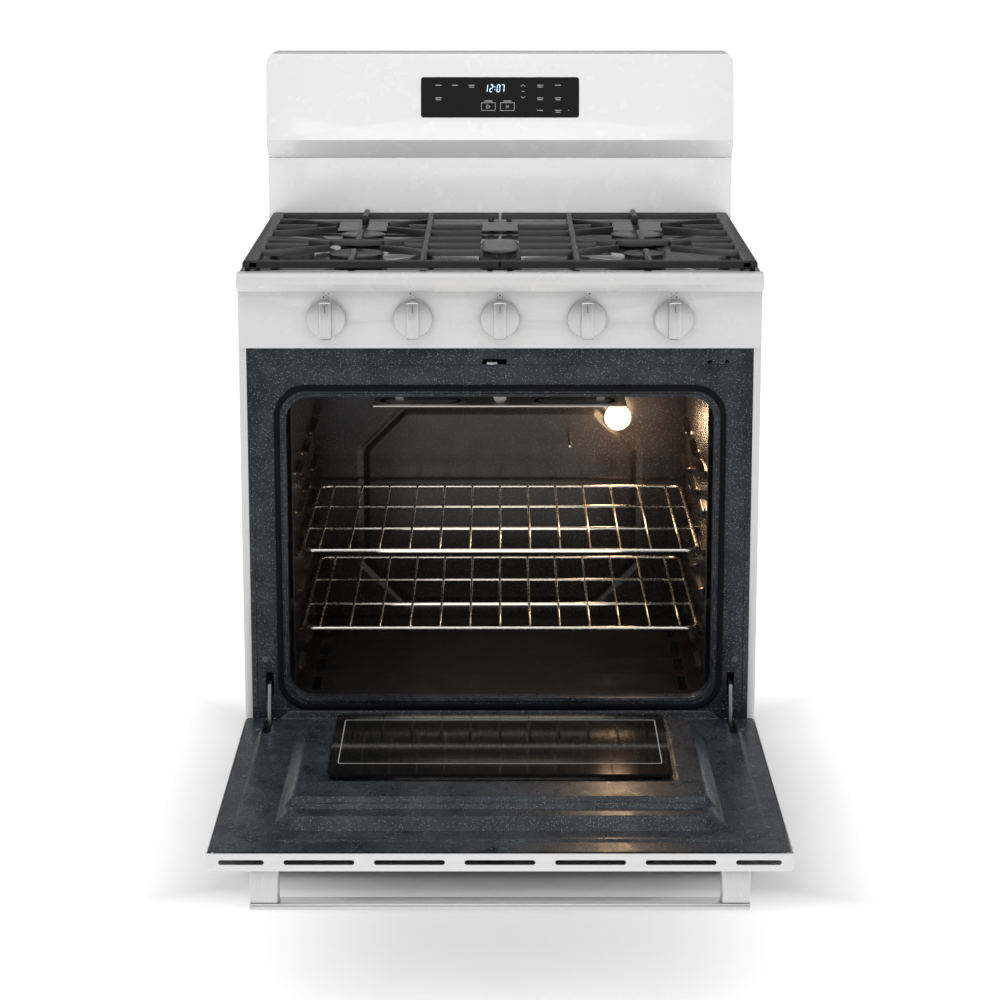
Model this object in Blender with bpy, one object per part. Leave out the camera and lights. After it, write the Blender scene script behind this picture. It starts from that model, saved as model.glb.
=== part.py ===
"""Freestanding gas range with its oven door open, as an assembly of separate named sub-parts.

Metres, +Z up, +X to the right of someone facing the range, the front towards -Y. The origin is on
the floor, in the middle of the range as it stands with the door open. Every sub-part is drawn in
its place, and a moving one then gets its origin on its joint's axis.
"""

import math

import bmesh
import bpy
from mathutils import Matrix, Vector

# Driving dimensions, in metres
WIDTH = 0.7588
BODY_WIDTH = 0.7570
BODY_DEPTH = 0.6550
BASE_HEIGHT = 0.0140
COOKTOP_HEIGHT = 0.9150
OVERALL_HEIGHT = 1.1870
DOOR_REACH = 0.5720
SHEET = 0.0012
GAP = 0.0003
CUT = 0.0100
BITE = 0.0010
SHARP_DEGREES = 35
MITRE_LIMIT = 0.3000
AXIS_MARK = 0.0300

# Frame, feet and back
FLANGE_WIDTH = 0.0108
REAR_RETURN = 0.0150
BEAM = 0.0140
BASE_CLEARANCE = 0.0020
CROSSBAR_HEIGHT = 0.0260
FOOT_RADIUS = 0.0180
FOOT_PAD_HEIGHT = 0.0060
FOOT_STEM_RADIUS = 0.0050
FOOT_INSET = 0.0450
FOOT_SHAPE = ((0.9000, 0.0), (1.0, 0.4000), (0.8000, 1.0))
INLET_RADIUS = 0.0160
INLET_PLACE = (0.2200, 0.1100)
REAR_DROP = 0.0120
REAR_CORNER = 0.0060
BASE_INSET = 0.0300
DRAWER_RAIL_LEDGE = 0.0120
DRAWER_RAIL_HEIGHT = 0.0060

# Control panel, front rail and knobs
PANEL_BOTTOM = 0.8040
PANEL_HEIGHT = 0.0825
PANEL_RETURN = 0.0180
RAIL_PROUD = 0.0170
RAIL_FACE_DROP = 0.0150
RAIL_LIP = 0.0060
RAIL_CHAMFER = 0.3000
RAIL_FLAT = 0.6000
RAIL_UNDERCUT = 0.5000
KNOB_PITCH = 0.1255
KNOB_HEIGHT = 0.8490
KNOB_RADIUS = 0.0280
KNOB_SKIRT = 0.0085
KNOB_PROUD = 0.0340
KNOB_GRIP_WIDTH = 0.0190
KNOB_TRAVEL = 0.0040
KNOB_EDGE = 0.0015
KNOB_SHAPE = ((0.9600, 0.0), (1.0, KNOB_EDGE), (0.9700, KNOB_SKIRT), (0.8600, KNOB_SKIRT + KNOB_EDGE))
KNOB_GRIP_REACH = 0.9550
KNOB_GRIP_CORNER = 0.0060
KNOB_GRIP_ROOT = 0.0040
KNOB_TIP_WALL = 0.0060
STEM_RADIUS = 0.0030
STEM_CLEARANCE = 0.0003
STEM_HOLE_RADIUS = 0.0070
STEM_END = 0.0200
VALVE_SIZE = 0.0220
VALVE_SETBACK = 0.0120
VALVE_BORE_END = 0.0240
MANIFOLD_RADIUS = 0.0090
MANIFOLD_SETBACK = 0.0460
MANIFOLD_OVERHANG = 0.0400
SUPPLY_RADIUS = 0.0040
SUPPLY_ROOT = 0.0080
SUPPLY_SHORT = 0.0200
SUPPLY_DROP = 0.0080

# Oven
FRAME_BOTTOM = 0.2620
FRAME_SKIRT = 0.2420
FRAME_SHEET = 0.0020
COLLAR_DEPTH = 0.0220
COLLAR_BITE = 0.0005
SWITCH_PLACES = (0.3040, 0.3290)
SWITCH_RADIUS = 0.0030
OPENING_WIDTH = 0.6240
OPENING_BOTTOM = 0.2760
OPENING_TOP = 0.7320
OPENING_RADIUS = 0.0350
GASKET_OFFSET = 0.0080
GASKET_WIDTH = 0.0100
DOOR_SEAL_SPACE = 0.0040
CAVITY_WIDTH = 0.6120
CAVITY_TOP = 0.7452
CAVITY_DEPTH = 0.4800
GUIDE_LEVELS = (0.3060, 0.3660, 0.4260, 0.4860, 0.5460, 0.6060)
GUIDE_WIDTH = 0.0100
GUIDE_HEIGHT = 0.0040
GUIDE_START = 0.0300
GUIDE_END = 0.0100
HEAT_SLOTS = 4
HEAT_SLOT_INSET = 0.0200
HEAT_SLOT_WIDTH = 0.0120
HEAT_SLOT_START = 0.0600
HEAT_SLOT_PITCH = 0.0950
HEAT_SLOT_LENGTH = 0.0700
RACK_WIDTH = 0.5960
RACK_DEPTH = 0.4300
RACK_SETBACK = 0.0450
RACK_WIRE = 0.0060
RACK_RIB = 0.0040
RACK_RIBS = 13
RACK_RIB_RISE = 0.0010
RACK_CLEARANCE = 0.0010
BROIL_WIDTH = 0.3760
BROIL_DEPTH = 0.2900
BROIL_SETBACK = 0.0700
BROIL_DROP = 0.0420
BROIL_PLATE = 0.0020
BROIL_TUBE_RISE = 0.0110
BROIL_TUBE_START = 0.0200
HANGER_INSETS = (0.0300, 0.0400)
HANGER_X = 0.1500
HANGER_WIDTH = 0.0120
BAKE_DROP = 0.0140
BAKE_START = 0.0800
BAKE_END = 0.0200
WING_REACH = 0.0350
WING_START = 0.0100
WING_END = 0.0600
WING_THICKNESS = 0.0040
TUBE_RADIUS = 0.0100
LAMP_RADIUS = 0.0220
LAMP_PLACE = (0.1930, 0.6000)
LAMP_NECK = 0.7000
LAMP_SOCKET = 0.0200
LAMP_SHAPE = ((1.0, 0.0080), (0.8500, 0.0180), (0.5000, 0.0250))
PROBE_RADIUS = 0.0025
PROBE_LENGTH = 0.0900
PROBE_TAIL = 0.0120
PROBE_PLACE = (0.1130, 0.5700)

# Door
PIVOT_SETBACK = 0.0140
PIVOT_HEIGHT = 0.2400
DOOR_THICKNESS = 0.0280
DOOR_HEEL = 0.0100
INNER_EDGE = 0.0038
INNER_INSET = 0.0035
INNER_CORNER = 0.0120
OUTER_CORNER = 0.0050
PLATEAU_WIDTH = 0.5960
PLATEAU_RISE = 0.0300
PLATEAU_START = 0.0450
PLATEAU_END = 0.4840
PLATEAU_RADIUS = 0.0300
WINDOW_WIDTH = 0.4580
WINDOW_START = 0.0800
WINDOW_END = 0.3330
WINDOW_RADIUS = 0.0100
GLASS = 0.0040
GLASS_LAP = 0.0070
OUTER_WINDOW_WIDTH = 0.4600
OUTER_WINDOW_START = 0.1300
OUTER_WINDOW_END = 0.4000
OUTER_WINDOW_RADIUS = 0.0200
VENT_COUNT = 7
VENT_PITCH = 0.1165
VENT_LENGTH = 0.0910
VENT_MARGIN = 0.0160
VENT_HEIGHT = 0.0065
VENT_CORNER = 0.0030
HANDLE_LENGTH = 0.6480
HANDLE_STAND = 0.0560
HANDLE_BAR = 0.0090
HANDLE_ROUNDING = 0.0030
HANDLE_DEPTH = 0.0280
HANDLE_SETBACK = 0.0060
POST_WIDTH = 0.0380
POST_DEPTH = 0.0220
POST_INSET = 0.0030
POST_CORNER = 0.0040
HINGE_X = 0.3415
HINGE_ARM = 0.0050
HINGE_SLOT = 0.0110
HINGE_SLOT_BOTTOM = 0.2790
HINGE_SLOT_TOP = 0.3160
HINGE_NOTCH = 0.0300
HINGE_NOTCH_FLOOR = 0.0060
ARM_EYE = 0.0070
ARM_EYE_LOW = 0.0060
ARM_EYE_HIGH = 0.0080
ARM_CLEARANCE = 0.0025
ARM_HEIGHT = 0.0210
ARM_TAIL = 0.0400
ARM_SHOULDER = 0.0100
LATCH_HEIGHT = 0.7840
LATCH_X = -0.0080
LATCH_SLOT_WIDTH = 0.0350
LATCH_SLOT_HEIGHT = 0.0072
LATCH_PIVOT_DEPTH = 0.0350
LATCH_REACH = 0.0130
DOOR_SLOT_HALF = 0.0050
HOOK_SHIFT = 0.0060
HOOK_NEAR = 0.0050
HOOK_FAR = 0.0030
HOOK_BARB = 0.0100
HOOK_BARB_ROOT = 0.0060
HOOK_SLOPE = 0.0020
HOOK_TAIL = 0.0080
HOOK_SHEET = 0.0030

# Storage drawer
DRAWER_BOTTOM = 0.0300
DRAWER_TOP = 0.2140
DRAWER_PROUD = 0.0260
BIN_WIDTH = 0.6360
BIN_DEPTH = 0.4500
BIN_BOTTOM = 0.0520
BIN_TOP = 0.1950

# Cooktop
PAN_WIDTH = 0.7530
PAN_RECESS = 0.0160
PAN_RIM = 0.0100
PAN_SETBACK = 0.0110
PAN_CORNER = 0.0200
SPLASH_SETBACK = 0.5755
GRATE_WIDTH = 0.7440
GRATE_SETBACK = 0.0125
GRATE_DEPTH = 0.5500
GRATE_HEIGHT = 0.0150
GRATE_BAR = 0.0090
GRATE_BAR_DEPTH = 0.0100
GRATE_RAIL = 0.0200
GRATE_SPLIT = 0.0030
GRATE_FREE_END = 0.0280
GRATE_SPINE = 0.1120
GRATE_BARS = (0.1300, 0.2020, 0.2800, 0.3470, 0.4200)
CROSS_RAIL = 0.2430
TIP_OFFSET = 0.0400
SHORT_TIP = 0.0720
TIP_SPREAD = 0.0220
FINGER_SPREAD = 0.0700
TAB_TIP = 0.0600
TAB_RISE = 0.0060
END_RAIL = 1.3000
SPINE_DROP = 0.0020
GRATE_FOOT = 0.0100
GRATE_FOOT_INSET = 0.0060
GRATE_FOOT_INNER = 0.0120
ROUNDEST = 0.9999
THROAT = 0.6000
THROAT_CLEARANCE = 0.0010
THROAT_DROP = 0.0040
HEAD_BASE = 1.1200
HEAD_BASE_HEIGHT = 0.0040
HEAD_RING = 0.8800
HEAD_HEIGHT = 0.0120
CAP_THICKNESS = 0.0040
BURNERS = {
    "front_left": (-0.2170, 0.2000, 0.0400, 0.0),
    "rear_left": (-0.2170, 0.4120, 0.0330, 0.0),
    "centre": (0.0, 0.2800, 0.0260, 0.0700),
    "rear_right": (0.2170, 0.4120, 0.0400, 0.0),
    "front_right": (0.2170, 0.2000, 0.0290, 0.0),
}

# Backguard
SPLASH_TOP = 1.0180
CONSOLE_BOTTOM = 1.0500
CONSOLE_FOOT_SETBACK = 0.5450
CONSOLE_TOP_SETBACK = 0.5720
CONSOLE_RADIUS = 0.0140
CONSOLE_SHEET = 0.0015
MITRE = 0.4000
OPEN_END = 0.0100
ROUNDING_REACH = 0.1000
TOUCH_WIDTH = 0.2560
TOUCH_HEIGHT = 0.0650
TOUCH_MIDDLE = 0.4950
TOUCH_THICKNESS = 0.0040
TOUCH_PROUD = 0.0008
TOUCH_CORNER = 0.0040

# Places worked out from the driving dimensions
FRONT = (DOOR_REACH - BODY_DEPTH) / 2
BACK = FRONT + BODY_DEPTH
HALF_BODY = BODY_WIDTH / 2
INNER_HALF = HALF_BODY - SHEET - GAP
PIVOT = Vector((0.0, FRONT - PIVOT_SETBACK, PIVOT_HEIGHT))
DOOR_FACE = PIVOT.z + PIVOT_SETBACK - DOOR_SEAL_SPACE
DOOR_SKIN = DOOR_FACE - DOOR_THICKNESS
DOOR_HEEL_Y = PIVOT.y + DOOR_HEEL
DOOR_EDGE_Y = FRONT - DOOR_REACH
CAVITY_FRONT = FRONT + COLLAR_DEPTH + GAP
CAVITY_BACK = CAVITY_FRONT + CAVITY_DEPTH
RAIL_LOW = PANEL_BOTTOM + PANEL_HEIGHT + GAP * 4
PAN_BOTTOM = RAIL_LOW
PAN_FLOOR = COOKTOP_HEIGHT - PAN_RECESS
BASE_BOTTOM = BASE_HEIGHT + BASE_CLEARANCE
KNOB_SITES = [KNOB_PITCH * step for step in (-2, -1, 0, 1, 2)]
SIDES = {"left": -1, "right": 1}


# Materials -----------------------------------------------------------------------------------


def material(name, colour, roughness, metallic=0.0, alpha=1.0):
    """One Principled material."""
    made = bpy.data.materials.new(name)
    made.use_nodes = True
    shader = made.node_tree.nodes["Principled BSDF"]
    shader.inputs["Base Color"].default_value = (*colour, 1.0)
    shader.inputs["Roughness"].default_value = roughness
    shader.inputs["Metallic"].default_value = metallic
    shader.inputs["Alpha"].default_value = alpha
    made.diffuse_color = (*colour, alpha)
    return made


def finishes():
    """Every finish of the range, by name."""
    return {
        "white_enamel": material("white_enamel", (0.86, 0.87, 0.88), 0.25),
        "black_enamel": material("black_enamel", (0.012, 0.012, 0.014), 0.18),
        "porcelain": material("porcelain", (0.035, 0.04, 0.06), 0.35),
        "cast_iron": material("cast_iron", (0.02, 0.02, 0.022), 0.6, 0.4),
        "stainless": material("stainless", (0.62, 0.62, 0.63), 0.3, 1.0),
        "chrome": material("chrome", (0.8, 0.8, 0.82), 0.12, 1.0),
        "zinc": material("zinc", (0.5, 0.5, 0.5), 0.45, 1.0),
        "brass": material("brass", (0.75, 0.6, 0.3), 0.35, 1.0),
        "cream_ceramic": material("cream_ceramic", (0.8, 0.76, 0.66), 0.6),
        "gasket_braid": material("gasket_braid", (0.05, 0.05, 0.055), 0.9),
        "black_glass": material("black_glass", (0.01, 0.01, 0.012), 0.05),
        "window_glass": material("window_glass", (0.1, 0.12, 0.12), 0.03, 0.0, 0.4),
        "lamp_glass": material("lamp_glass", (1.0, 0.85, 0.55), 0.2),
        "rubber": material("rubber", (0.03, 0.03, 0.03), 0.8),
    }


# Shapes --------------------------------------------------------------------------------------


def clear_scene():
    """Removes the objects that the file opens with."""
    for obj in list(bpy.data.objects):
        bpy.data.objects.remove(obj, do_unlink=True)


def mesh_object(name, points, faces):
    """An object from points and faces, with its normals turned outward."""
    mesh = bpy.data.meshes.new(name)
    mesh.from_pydata([tuple(p) for p in points], [], faces)
    shape = bmesh.new()
    shape.from_mesh(mesh)
    bmesh.ops.recalc_face_normals(shape, faces=shape.faces)
    shape.to_mesh(mesh)
    shape.free()
    obj = bpy.data.objects.new(name, mesh)
    bpy.context.scene.collection.objects.link(obj)
    return obj


def loft(name, rings):
    """A closed solid through rings that all have the same number of points."""
    count = len(rings[0])
    points = [p for ring in rings for p in ring]
    faces = [list(range(count)), [len(points) - count + i for i in range(count)]]
    for ring in range(len(rings) - 1):
        low = ring * count
        for i in range(count):
            j = (i + 1) % count
            faces.append([low + i, low + j, low + count + j, low + count + i])
    return mesh_object(name, points, faces)


def prism(name, outline, axis, low, high):
    """A flat outline pushed from low to high along axis; the outline's own axes keep their order."""
    rings = []
    for level in (low, high):
        ring = []
        for a, b in outline:
            ring.append({"X": (level, a, b), "Y": (a, level, b), "Z": (a, b, level)}[axis])
        rings.append(ring)
    return loft(name, rings)


def box(name, x, y, z):
    """A box between the two ends given for each axis."""
    outline = [(x[0], y[0]), (x[1], y[0]), (x[1], y[1]), (x[0], y[1])]
    return prism(name, outline, "Z", z[0], z[1])


def rounded(low, high, radius, steps=4):
    """The outline of a rectangle with round corners."""
    outline = []
    corners = [(high[0], high[1], 0), (low[0], high[1], 1), (low[0], low[1], 2), (high[0], low[1], 3)]
    for x, y, quarter in corners:
        middle_x = x - math.copysign(radius, x - low[0] - 1e-9)
        middle_y = y - math.copysign(radius, y - low[1] - 1e-9)
        for step in range(steps + 1):
            angle = math.pi / 2 * (quarter + step / steps)
            outline.append((middle_x + radius * math.cos(angle), middle_y + radius * math.sin(angle)))
    return outline


def folded(line, thickness):
    """The outline of sheet metal folded along an open line, the sheet lying to the line's left."""
    offset = []
    for i, point in enumerate(line):
        before = Vector(line[max(i, 1)]) - Vector(line[max(i, 1) - 1])
        last = min(i, len(line) - 2)
        after = Vector(line[last + 1]) - Vector(line[last])
        normals = [Vector((-d.y, d.x)).normalized() for d in (before, after)]
        middle = (normals[0] + normals[1]).normalized()
        offset.append(Vector(point) + middle * thickness / max(middle.dot(normals[0]), MITRE_LIMIT))
    return [tuple(p) for p in line] + [tuple(p) for p in reversed(offset)]


def turned(name, profile, middle, axis, segments=24):
    """A solid of revolution with flat ends. The profile is a list of (radius, distance along axis)."""
    along = Vector(axis)
    across = along.orthogonal().normalized()
    other = along.cross(across)
    rings = []
    for radius, distance in profile:
        ring = []
        for i in range(segments):
            angle = 2 * math.pi * i / segments
            spoke = across * math.cos(angle) + other * math.sin(angle)
            ring.append(Vector(middle) + along * distance + spoke * radius)
        rings.append(ring)
    return smooth(loft(name, rings))


def rod(name, start, end, radius, segments=8):
    """A round rod between two points."""
    line = Vector(end) - Vector(start)
    return turned(name, [(radius, 0.0), (radius, line.length)], start, line.normalized(), segments)


def bar(name, start, end, width, z):
    """A flat bar between two points of a plan, from z[0] to z[1]."""
    line = (Vector(end) - Vector(start)).normalized()
    side = Vector((-line.y, line.x)) * width / 2
    start, end = Vector(start), Vector(end)
    outline = [start - side, end - side, end + side, start + side]
    return prism(name, [tuple(p) for p in outline], "Z", z[0], z[1])


def smooth(obj):
    """Shades the round faces smooth and leaves the corners sharp."""
    obj.data.shade_smooth()
    obj.data.set_sharp_from_angle(angle=math.radians(SHARP_DEGREES))
    return obj


def helpers(name, shapes):
    """A collection of shapes that only cut or join, kept out of the render."""
    group = bpy.data.collections.new(name)
    bpy.context.scene.collection.children.link(group)
    for shape in shapes:
        bpy.context.scene.collection.objects.unlink(shape)
        group.objects.link(shape)
        shape.hide_render = True
        shape.display_type = "WIRE"
    return group


def combine(obj, shapes, operation):
    """Adds one Boolean to obj that takes every shape of the list."""
    made = obj.modifiers.new(operation.lower(), "BOOLEAN")
    made.operation = operation
    made.solver = "EXACT"
    made.operand_type = "COLLECTION"
    made.collection = helpers(f"{obj.name}_{operation.lower()}_{len(obj.modifiers)}", shapes)
    return obj


def join(obj, *shapes):
    """Joins the shapes to obj as one body."""
    return combine(obj, shapes, "UNION")


def cut(obj, *shapes):
    """Cuts the shapes out of obj."""
    return combine(obj, shapes, "DIFFERENCE")


def paint(obj, finish):
    """Gives obj its finish."""
    obj.data.materials.clear()
    obj.data.materials.append(finish)
    return obj


def axis_empty(name, place):
    """An empty on a joint's axis."""
    empty = bpy.data.objects.new(name, None)
    empty.location = place
    empty.empty_display_size = AXIS_MARK
    bpy.context.scene.collection.objects.link(empty)
    return empty


def hang(obj, empty):
    """Moves the origin of obj to the empty's place and parents it there."""
    place = empty.location
    obj.data.transform(Matrix.Translation(-place))
    obj.parent = empty
    obj.location = (0.0, 0.0, 0.0)
    return obj


# Body ----------------------------------------------------------------------------------------


def side_panel(side, sign, finish):
    """A side sheet, folded inward at the front and at the back."""
    back = BACK - SHEET - GAP
    line = [
        (sign * (HALF_BODY - FLANGE_WIDTH), FRONT),
        (sign * HALF_BODY, FRONT),
        (sign * HALF_BODY, back),
        (sign * (HALF_BODY - REAR_RETURN), back),
    ]
    outline = folded(line, SHEET * sign)
    return paint(prism(f"side_panel_{side}", outline, "Z", BASE_HEIGHT, RAIL_LOW - GAP), finish)


def rear_panel(finish):
    """The back sheet, with the gas inlet's hole near the floor."""
    panel = prism(
        "rear_panel",
        rounded((-INNER_HALF, BASE_HEIGHT), (INNER_HALF, OVERALL_HEIGHT - REAR_DROP), REAR_CORNER),
        "Y",
        BACK - SHEET,
        BACK,
    )
    x, z = INLET_PLACE
    hole = rod("inlet_hole", (x, BACK - CUT, z), (x, BACK + CUT, z), INLET_RADIUS, 16)
    return paint(cut(panel, hole), finish)


def base_frame(finish):
    """The welded base: a floor frame, four uprights, the oven's cross bars and the drawer's rails."""
    inner = INNER_HALF - SHEET
    front, back = FRONT + BASE_INSET, BACK - BASE_INSET
    low = (BASE_BOTTOM, BASE_BOTTOM + BEAM)
    high = (FRAME_BOTTOM - CROSSBAR_HEIGHT, FRAME_BOTTOM - GAP * 4)
    shapes = []
    for level in (low, high):
        for sign in SIDES.values():
            ends = sorted((sign * (inner - BEAM), sign * inner))
            shapes.append(box("side_beam", ends, (front, back), level))
        shapes.append(box("front_beam", (-inner, inner), (front, front + BEAM), level))
        shapes.append(box("back_beam", (-inner, inner), (back - BEAM, back), level))
    for sign in SIDES.values():
        ends = sorted((sign * (inner - BEAM), sign * inner))
        for start in (front, back - BEAM):
            shapes.append(box("upright", ends, (start, start + BEAM), (low[0], high[1])))
        rail = sorted((sign * (BIN_WIDTH / 2 - DRAWER_RAIL_LEDGE), sign * (inner - BEAM / 2)))
        level = (BIN_BOTTOM - GAP * 2 - DRAWER_RAIL_HEIGHT, BIN_BOTTOM - GAP * 2)
        shapes.append(box("drawer_rail", rail, (front, back), level))
        web = sorted((sign * (inner - BEAM), sign * (inner - BEAM / 2)))
        shapes.append(box("rail_web", web, (front, back), (low[0], level[1])))
    frame = shapes.pop()
    frame.name = "base_frame"
    return paint(join(frame, *shapes), finish)


def foot(side, sign, end, y, finish):
    """A levelling foot: a turned pad on a short stem."""
    x = sign * (INNER_HALF - SHEET - FOOT_RADIUS)
    profile = [(FOOT_RADIUS * share, FOOT_PAD_HEIGHT * rise) for share, rise in FOOT_SHAPE]
    profile.append((FOOT_STEM_RADIUS, FOOT_PAD_HEIGHT))
    profile.append((FOOT_STEM_RADIUS, BASE_BOTTOM - GAP))
    return paint(turned(f"foot_{end}_{side}", profile, (x, y, 0.0), (0, 0, 1), 14), finish)


# Front ---------------------------------------------------------------------------------------


def control_panel(finish):
    """The folded panel that the knobs stand on, with a hole for each valve stem."""
    face = FRONT - GAP
    top = PANEL_BOTTOM + PANEL_HEIGHT
    line = [
        (FRONT + PANEL_RETURN, top),
        (face - SHEET, top),
        (face - SHEET, PANEL_BOTTOM),
        (FRONT + PANEL_RETURN, PANEL_BOTTOM),
    ]
    inner = INNER_HALF - FLANGE_WIDTH - SHEET
    panel = prism("control_panel", folded(line, SHEET), "X", -inner, inner)
    face_sheet = box(
        "panel_face", (-HALF_BODY, HALF_BODY), (face - SHEET, face), (PANEL_BOTTOM, top)
    )
    holes = []
    for x in KNOB_SITES:
        start, end = (x, face - CUT, KNOB_HEIGHT), (x, face + CUT, KNOB_HEIGHT)
        holes.append(rod("stem_hole", start, end, STEM_HOLE_RADIUS, 16))
    return paint(cut(join(panel, face_sheet), *holes), finish)


def front_trim_rail(finish):
    """The rounded rail along the cooktop's front edge, closed at both ends."""
    low = RAIL_LOW
    face = FRONT - RAIL_PROUD
    top = COOKTOP_HEIGHT
    line = [
        (FRONT + PAN_SETBACK - GAP, top),
        (face + RAIL_LIP, top),
        (face + RAIL_LIP * RAIL_CHAMFER, top - RAIL_LIP * RAIL_CHAMFER),
        (face, top - RAIL_LIP),
        (face, top - RAIL_LIP - RAIL_FACE_DROP * RAIL_FLAT),
        (face + RAIL_PROUD * RAIL_UNDERCUT, low),
        (FRONT + PAN_SETBACK - GAP, low),
    ]
    half = WIDTH / 2
    rail = prism("front_trim_rail", folded(line, SHEET), "X", -half, half)
    ends = [prism("rail_end", line, "X", *sorted((s * half, s * (half - SHEET)))) for s in (-1, 1)]
    return paint(join(rail, *ends), finish)


def knob(index, x, finish):
    """A turned knob with a grip bar across it and a blind bore for the valve's stem."""
    face = FRONT - GAP - SHEET
    back = face - KNOB_TRAVEL - GAP * 3
    profile = [(KNOB_RADIUS * share, rise) for share, rise in KNOB_SHAPE]
    made = turned(f"knob_{index}", profile, (x, back, KNOB_HEIGHT), (0, -1, 0))
    reach = KNOB_RADIUS * KNOB_GRIP_REACH
    half = KNOB_GRIP_WIDTH / 2
    tip = face - KNOB_PROUD
    grip = prism(
        "grip",
        rounded((x - half, KNOB_HEIGHT - reach), (x + half, KNOB_HEIGHT + reach), KNOB_GRIP_CORNER, 3),
        "Y",
        tip,
        back - KNOB_GRIP_ROOT,
    )
    bore_end = tip + KNOB_TIP_WALL
    ends = ((x, back + CUT, KNOB_HEIGHT), (x, bore_end, KNOB_HEIGHT))
    bore = rod("bore", *ends, STEM_RADIUS + STEM_CLEARANCE, 12)
    return paint(cut(join(made, grip), bore), finish)


def valve_rotor(index, x, finish):
    """The valve's turning stem, which the knob slides on, with a flange inside the valve."""
    face = FRONT - GAP - SHEET
    tip = face - KNOB_PROUD + KNOB_TIP_WALL + KNOB_TRAVEL + GAP * 2
    length = FRONT + STEM_END - tip
    profile = [(STEM_RADIUS, 0.0), (STEM_RADIUS, length)]
    return paint(turned(f"valve_rotor_{index}", profile, (x, tip, KNOB_HEIGHT), (0, 1, 0), 12), finish)


def gas_manifold(finish):
    """The manifold tube with its five valves and the small tubes that feed the burners."""
    y = FRONT + MANIFOLD_SETBACK
    reach = KNOB_SITES[-1] + MANIFOLD_OVERHANG
    tube = rod("gas_manifold", (-reach, y, KNOB_HEIGHT), (reach, y, KNOB_HEIGHT), MANIFOLD_RADIUS, 12)
    shapes, bores = [], []
    half = VALVE_SIZE / 2
    for x, (end_x, end_y, _, _) in zip(KNOB_SITES, BURNERS.values()):
        z = (KNOB_HEIGHT - half, KNOB_HEIGHT + half)
        shapes.append(box("valve", (x - half, x + half), (FRONT + VALVE_SETBACK, y), z))
        start = (x, y - SUPPLY_ROOT, KNOB_HEIGHT + half / 2)
        end = (end_x, FRONT + end_y - SUPPLY_SHORT, PAN_BOTTOM - SUPPLY_DROP)
        shapes.append(rod("supply", start, end, SUPPLY_RADIUS, 6))
        bore = ((x, FRONT, KNOB_HEIGHT), (x, FRONT + VALVE_BORE_END, KNOB_HEIGHT))
        bores.append(rod("valve_bore", *bore, STEM_RADIUS + STEM_CLEARANCE * 2, 12))
    return paint(cut(join(tube, *shapes), *bores), finish)


# Oven ----------------------------------------------------------------------------------------


def opening_outline(offset, steps=6):
    """The oven mouth's outline, moved outward by offset."""
    half = OPENING_WIDTH / 2 + offset
    low, high = OPENING_BOTTOM - offset, OPENING_TOP + offset
    return rounded((-half, low), (half, high), OPENING_RADIUS + offset, steps)


def oven_front_frame(finish):
    """The enamelled frame round the mouth, with a collar into the cavity and its slots."""
    half = HALF_BODY - FLANGE_WIDTH - GAP
    outline = [(-half, FRAME_SKIRT), (half, FRAME_SKIRT), (half, PANEL_BOTTOM - GAP)]
    outline.append((-half, PANEL_BOTTOM - GAP))
    back = FRONT + FRAME_SHEET
    frame = prism("oven_front_frame", outline, "Y", FRONT, back)
    collar_back = FRONT + COLLAR_DEPTH
    collar = prism("collar", opening_outline(FRAME_SHEET), "Y", back - COLLAR_BITE, collar_back)
    mouth = prism("mouth", opening_outline(0.0), "Y", FRONT - CUT, collar_back + CUT)
    holes = [mouth]
    for sign in SIDES.values():
        ends = sorted((sign * HINGE_X - HINGE_SLOT / 2, sign * HINGE_X + HINGE_SLOT / 2))
        level = (HINGE_SLOT_BOTTOM, HINGE_SLOT_TOP)
        holes.append(box("hinge_slot", ends, (FRONT - CUT, back + CUT), level))
    half_slot = LATCH_SLOT_WIDTH / 2
    level = (LATCH_HEIGHT - LATCH_SLOT_HEIGHT / 2, LATCH_HEIGHT + LATCH_SLOT_HEIGHT / 2)
    ends = (LATCH_X - half_slot, LATCH_X + half_slot)
    holes.append(box("latch_slot", ends, (FRONT - CUT, back + CUT), level))
    for x in SWITCH_PLACES:
        start, end = (x, FRONT - CUT, LATCH_HEIGHT), (x, back + CUT, LATCH_HEIGHT)
        holes.append(rod("switch_hole", start, end, SWITCH_RADIUS, 10))
    return paint(cut(join(frame, collar), *holes), finish)


def oven_gasket(finish):
    """The door seal, a ring round the oven's mouth."""
    outer = opening_outline(GASKET_OFFSET + GASKET_WIDTH)
    inner = opening_outline(GASKET_OFFSET)
    face = FRONT - DOOR_SEAL_SPACE + GAP
    ring = prism("oven_gasket", outer, "Y", face, FRONT - GAP)
    return paint(cut(ring, prism("gasket_hole", inner, "Y", face - CUT, FRONT + CUT)), finish)


def oven_wrapper(finish):
    """The oven's two side walls and its ceiling in one folded sheet, with the rack guides."""
    half = CAVITY_WIDTH / 2
    low = FRAME_BOTTOM + GAP
    line = [(half, low), (half, CAVITY_TOP), (-half, CAVITY_TOP), (-half, low)]
    wrapper = prism("oven_wrapper", folded(line, SHEET), "Y", CAVITY_FRONT, CAVITY_BACK)
    guides = []
    for level in GUIDE_LEVELS:
        for sign in SIDES.values():
            ends = sorted((sign * (half - SHEET / 2), sign * (half - GUIDE_WIDTH)))
            start, end = CAVITY_FRONT + GUIDE_START, CAVITY_BACK - GUIDE_END
            guides.append(box("guide", ends, (start, end), (level - GUIDE_HEIGHT, level)))
    return paint(join(wrapper, *guides), finish)


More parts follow.
